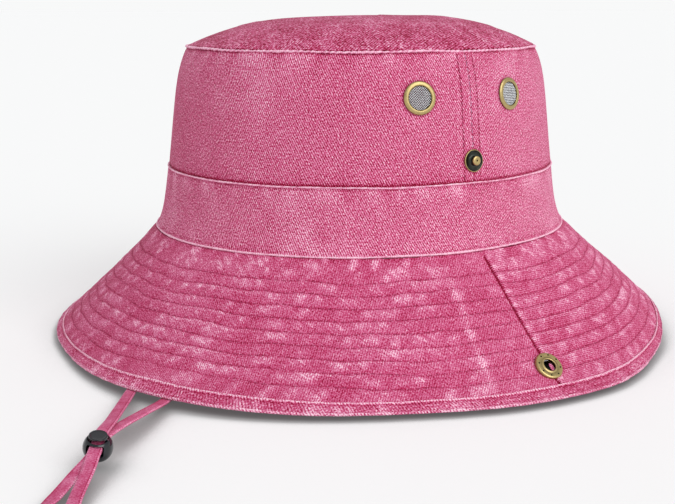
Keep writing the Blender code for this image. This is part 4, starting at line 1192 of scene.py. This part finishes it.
def make_ridges():
    def vertical(t):
        return np.stack((t * 0, t * 0, t * 0 + 1.0), -1)

    def level(t):
        flat = outward(wall, np.full_like(t, BAND_Z), t)
        flat[:, 2] = 0
        return unit(flat)

    ring_ridge(
        "rim_ridge",
        lambda t: wall(np.full_like(t, RIM_Z - 0.5 * MM) + stray(t, 151, 0.7, 79), t) + level(t) * 0.15 * MM,
        level, vertical, 0.56 * MM, 152, 1.4, -0.1, 79.0,
    )
    ring_ridge(
        "band_ridge",
        lambda t: wall(np.full_like(t, BAND_Z - 0.35 * MM) + stray(t, 155, 0.5), t) + level(t) * 0.25 * MM,
        level, vertical, 0.42 * MM, 156, 0.8, 0.0, 90.0,
    )
    ring_ridge(
        "joint_ridge",
        lambda t: wall(np.full_like(t, JOINT_Z + 0.55 * MM) + stray(t, 159, 0.4, 95), t) + level(t) * 0.35 * MM,
        level, vertical, 0.48 * MM, 160, 0.5, 0.15, 95.0, shade_below=0.6,
    )


def make_seam_stitching():
    """Thread down the side seams: a pale row on the seam and a pink row on each side of it."""
    pale, pink = [], []
    z = np.linspace(BAND_Z + 1.2 * MM, RIM_Z - 1.6 * MM, 200)
    for _, middle, facing in SIDES:
        for offset in (0.0, *SEAM_LINES):
            t = np.full_like(z, middle + facing * offset / SIDE_R)
            keep = fitting_distance(z, t, 0.0, STUD_Z) > 5.1
            for part in (z < STUD_Z, z > STUD_Z):
                chosen = keep & part
                if chosen.sum() < 20:
                    continue
                n = outward(wall, z[chosen], t[chosen])
                height = crown_relief(z[chosen], t[chosen])[0]
                path = wall(z[chosen], t[chosen]) + n * ((height + 0.1) * MM)[:, None]
                where, material = (pink, thread_pink) if offset else (pale, thread_pale)
                made = stitches("seam_row", path, n, material, length=2.1, pitch=2.8, radius=0.15, sink=0.2)
                if made:
                    where.append(made)
    for name, parts in (("seam_thread_pale", pale), ("seam_thread_pink", pink)):
        ob = join(name, parts)
        settle(ob, "crown_twill")


def make_linings():
    """Sweatband and seam tapes inside the crown; the sweatband and the rim's tape each have a row of thread near
    both edges.
    """
    threads = []
    cols = np.linspace(0, TAU, 481)[:-1]
    bands = {
        "sweatband_cloth": ("sweatband", 49.6, 74.9, 2.6, 0.6, 26),
        "rim_tape": ("rim_seam_tape", 118.8, 127.2, 1.3, 0.5, 12),
    }
    for name, (cad, low, high, inset, thick, count) in bands.items():
        z, t = np.meshgrid(np.linspace(low, high, count) * MM, cols, indexing="ij")
        n = outward(wall, z, t)
        edge = np.minimum(z / MM - low, high - z / MM)
        height = 0.18 * (rough(t, z / MM, 9, 171, 84) - 0.5) - 0.12 * bell(edge, 1.6, 0.6)
        outer = wall(z, t) - n * inset * MM
        inner = outer - n * (thick * MM + height * MM)[..., None]
        uv = np.stack((t * 0.084, z), -1)
        layers = {"wear": height * 0, "deep": height * 0}
        ob = slab(name, outer, inner, uv, layers, lining_cloth, wrap=True)
        settle(ob, "lining_cloth", cad)
        for at in (low + 1.6, high - 1.6):
            t1 = np.linspace(0, TAU, 700)
            z1 = np.full_like(t1, at * MM)
            n1 = outward(wall, z1, t1)
            path = wall(z1, t1) - n1 * (inset + thick - 0.06) * MM
            threads.append(stitches("lining_row", path, -n1, thread_pink, length=2.2, pitch=3.0, radius=0.14))
    for side, middle, _ in SIDES:
        across = middle + np.linspace(-4.8, 4.8, 15) / 92.1
        z, t = np.meshgrid(np.linspace(78.2, 118.0, 60) * MM, across, indexing="ij")
        n = outward(wall, z, t)
        outer = wall(z, t) - n * 1.12 * MM
        inner = outer - n * (0.46 * MM + 0.08 * MM * noise(z / MM / 3, t * 60, 181))[..., None]
        r = np.hypot((z - STUD_Z) / MM, (t - middle) * 87)
        holes = (r[:-1, :-1] + r[1:, 1:]) / 2 < 2.2
        uv = np.stack((t * 0.09, z), -1)
        layers = {"wear": z * 0, "deep": z * 0}
        ob = slab(f"seam_tape_{side}", outer, inner, uv, layers, lining_cloth, holes=holes)
        settle(ob, "lining_cloth", f"side_seam_tape_{side}")
    ob = join("lining_thread", threads)
    settle(ob, "lining_cloth")


make_tip()
make_crown_panel("front")
make_crown_panel("back")
make_hatband()
make_ridges()
make_seam_stitching()
make_linings()


# ---------------------------------------------------------------- metal fittings
def surface_frame(surface, u, t):
    """A frame on a surface, its local Z looking outwards."""
    u, t = np.array(u), np.array(t)
    turn = Vector(outward(surface, u, t)).to_track_quat("Z", "X").to_matrix().to_4x4()
    return Matrix.Translation(Vector(surface(u, t))) @ turn


def make_screen(name, place):
    """Two layers of crossing wires, woven over and under each other, inside the eyelet's bore."""
    pitch, wire, reach = 0.74 * MM, 0.18 * MM, 4.9 * MM
    parts = []
    count = int(reach / pitch)
    for layer in (0, 1):
        for k in range(-count, count + 1):
            y = k * pitch
            half = math.sqrt(max(reach**2 - y**2, 0)) - 0.1 * MM
            if half < pitch:
                continue
            x = np.linspace(-half, half, max(8, int(2 * half / pitch * 6)))
            wave = np.cos(PI * x / pitch) * wire * 0.95 * (1 if (k + layer) % 2 else -1)
            path = np.stack((x, x * 0 + y, wave + 0.1 * MM), -1)
            if layer:
                path = path[:, [1, 0, 2]]
            strand = (f"wire_{layer}_{k}", path, wire, None, mesh_steel)
            parts.append(wire_piece(*strand, sides=6, up=(0, 0, 1.0), shade=0.1))
    ob = join(name, parts)
    ob.data.transform(place @ Matrix.Rotation(math.radians(38), 4, "Z"))
    return ob


def make_eyelet(side, end):
    y = -EYELET_Y if end == "front" else EYELET_Y
    t = math.asin(y / float(ring_at(np.array(EYELET_Z))[1]))
    place = surface_frame(wall, EYELET_Z, t if side == "right" else PI - t)
    label = f"{side}_{end}"
    bore, tube, foot = 4.95, 5.3, 6.2  # mm, as are all the profiles
    ring = [(bore, -0.1, 0.9), (bore, 0.45, 0.7), (bore + 0.15, 0.72, 0.2), (bore + 0.45, 0.84, 0.0)]
    ring += [(6.0, 0.78, 0.05), (6.5, 0.62, 0.0), (6.85, 0.36, 0.1), (7.0, 0.05, 0.4), (6.9, -0.12, 0.9)]
    ring += [(tube, -0.12, 1.0), (tube, -2.0, 0.6), (foot, -2.0, 0.2), (foot, -2.35, 0.2), (bore, -2.35, 0.6)]
    made = turned(f"eyelet_ring_{label}", rounded(ring, 0.14), place, antique_brass, 72)
    settle(made, "antique_brass", f"eyelet_{label}")
    top, low = -1.42, -1.9
    washer = [(5.62, top, 0.5), (6.5, top, 0.2), (6.5, low, 0.1), (5.62, low, 0.3)]
    made = turned(f"washer_{label}", rounded(washer), place, antique_brass, 48)
    settle(made, "antique_brass", f"eyelet_washer_{label}")
    settle(make_screen(f"vent_screen_{label}", place), "steel_mesh", f"eyelet_screen_{label}")


def make_snap(side):
    t = 0.0 if side == "right" else PI
    place = surface_frame(wall, STUD_Z, t)
    dish = [(0, 1.4, 0.6), (1.45, 1.4, 0.6), (1.45, 0.12, 0.3), (4.65, 0.12, 0.3), (4.8, 0.45, 0.3)]
    dish += [(4.74, 0.85, 0.1), (4.5, 1.0, 0.1), (4.25, 0.9, 0.5), (4.0, 0.6, 0.6), (2.9, 0.5, 0.5)]
    dish += [(2.1, 0.62, 0.3), (1.7, 1.2, 0.5), (1.75, 1.9, 0.1), (2.0, 2.35, 0.0), (1.9, 2.8, 0.0)]
    dish += [(1.4, 3.02, 0.0), (0.5, 3.05, 0.1), (0.32, 2.9, 1.0), (0, 2.85, 1.0)]
    stud = turned(f"stud_{side}", rounded(dish, 0.1, 2), place, gunmetal, 72)
    stud.data.materials.append(antique_brass)  # its knob and rim, where the dark plating has worn off
    inverse = place.inverted()
    index = []
    for polygon in stud.data.polygons:
        at = inverse @ polygon.center / MM
        r = math.hypot(at.x, at.y)
        index.append(1 if (r < 2.1 and at.z > 1.7) or r > 4.38 else 0)
    stud.data.polygons.foreach_set("material_index", index)
    settle(stud, "gunmetal", f"snap_stud_{side}")
    back = -(CLOTH / MM + 1.1)
    post = [(0, 1.15, 0), (1.2, 1.15, 0), (1.2, back, 0.4), (4.2, back, 0.2), (4.0, back - 0.5, 0)]
    post += [(2.4, back - 0.72, 0), (2.0, back - 0.6, 0.6), (0, back - 0.66, 0)]
    made = turned(f"post_{side}", rounded(post, 0.14), place, antique_brass, 56)
    settle(made, "antique_brass", f"snap_post_{side}")

    moving = f"{side}_brim_side"
    place = surface_frame(plain_brim, SOCKET_SLANT / SLANT, t)
    ring = [(1.45, 0.25, 0.9), (5.7, 0.15, 0.8), (6.0, 0.5, 0.3), (6.02, 1.3, 0.1), (5.8, 1.8, 0.0)]
    ring += [(5.3, 2.05, 0.0), (4.4, 2.03, 0.15), (3.6, 1.92, 0.35), (3.25, 2.1, 0.0), (2.95, 2.2, 0.0)]
    ring += [(2.65, 2.05, 0.2), (2.62, 1.65, 1.0), (3.5, 1.65, 1.0), (3.5, 0.85, 1.0), (2.6, 0.85, 1.0)]
    ring += [(2.6, 0.6, 1.0), (1.45, 0.6, 1.0)]
    socket = turned(f"socket_{side}", rounded(ring, 0.12, 2), place, antique_brass, 80)
    pips, pip_ring = [], 4.75 * MM
    pip = [(0, 0.16, 1), (0.34, 0.15, 1), (0.44, 0.02, 1), (0.4, -0.1, 1), (0, -0.1, 1)]
    for k in range(8):
        a = (k + 0.5) * TAU / 8
        spot = Matrix.Translation((pip_ring * math.cos(a), pip_ring * math.sin(a), 1.95 * MM))
        pips.append(turned(f"pip_{k}", pip, place @ spot, gunmetal, 16))
    floor = [(0, 0.72, 1), (2.55, 0.72, 1), (2.55, 0.62, 1), (0, 0.62, 1)]
    pips.append(turned("socket_floor", floor, place, gunmetal, 32))
    join(f"socket_{side}", [socket, *pips])
    settle(socket, "antique_brass", f"snap_socket_{side}", body=moving)
    under = -(BRIM_THICK / MM + 0.3)
    cap = [(0, 0.5, 0), (1.2, 0.5, 0.3), (1.2, under, 0.4), (5.5, under, 0.3), (5.3, under - 0.5, 0)]
    cap += [(3.2, under - 0.78, 0), (2.8, under - 0.62, 0.6), (0, under - 0.7, 0)]
    made = turned(f"socket_cap_{side}", rounded(cap, 0.15), place, antique_brass, 56)
    settle(made, "antique_brass", f"snap_socket_cap_{side}", body=moving)
    parts = []
    for sign in (-1, 1):  # the two spring bars that grip the stud, seen across the socket's mouth
        a = np.linspace(-1.15, 1.15, 30)
        bar = np.stack((sign * (2.5 + 0.5 * np.abs(a / 1.15) ** 3), a * 2.3, a * 0 + 1.25), -1) * MM
        parts.append(wire_piece(f"bar_{sign}", bar, 0.24 * MM, place, spring_steel))
    bars = join(f"socket_spring_{side}", parts)
    settle(bars, "spring_steel", f"snap_spring_{side}", body=moving)


for hat_side in ("right", "left"):
    for hat_end in ("front", "back"):
        make_eyelet(hat_side, hat_end)
    make_snap(hat_side)


# ---------------------------------------------------------------- floor, light
FLOOR_Z = -2.0 * MM  # the table stands just clear of the limp edge


def make_stage():
    mat, tree, shader = new_material("floor")
    # Painted contact shadow: the floor's colour darkens with ambient occlusion near the hat, and the floor glows
    # faintly with that same colour.
    nook = node(tree, "ShaderNodeAmbientOcclusion", {"Distance": 40 * MM}, samples=16).outputs["AO"]
    greys = [(0.25, (0.17, 0.173, 0.172)), (0.7, (0.33, 0.334, 0.333)), (0.9, (0.66, 0.664, 0.662))]
    soft = ramp(tree, nook, greys)
    look = {"Base Color": soft, "Emission Color": soft, "Emission Strength": 0.5}
    dress(tree, shader, {**look, "Roughness": 1.0, "Specular IOR Level": 0.0})
    z = FLOOR_Z
    mesh = mesh_from("floor", [(-30, -30, z), (30, -30, z), (30, 30, z), (-30, 30, z)], [(0, 1, 2, 3)])
    floor = new_object("floor", mesh, mat)
    world = bpy.data.worlds.new("studio")
    bpy.context.scene.world = world
    world.use_nodes = True
    tree = world.node_tree
    back = tree.nodes["Background"]
    where = node(tree, "ShaderNodeTexCoord").outputs["Generated"]
    up = node(tree, "ShaderNodeSeparateXYZ", {"Vector": where}).outputs["Z"]
    pale, dim = (0.94, 0.945, 0.945), (0.62, 0.62, 0.63)
    tree.links.new(ramp(tree, up, [(0.0, pale), (0.16, pale), (0.34, dim)]), back.inputs["Color"])
    back.inputs["Strength"].default_value = 1.0
    key = bpy.data.lights.new("key", "SUN")
    key.energy, key.angle = 1.52, math.radians(46)
    towards = Vector((math.cos(math.radians(10)), math.sin(math.radians(10)), math.tan(math.radians(36))))
    in_scene("key", key, towards.to_track_quat("Z", "Y"))
    bpy.context.scene.view_settings.view_transform = "Standard"


make_stage()
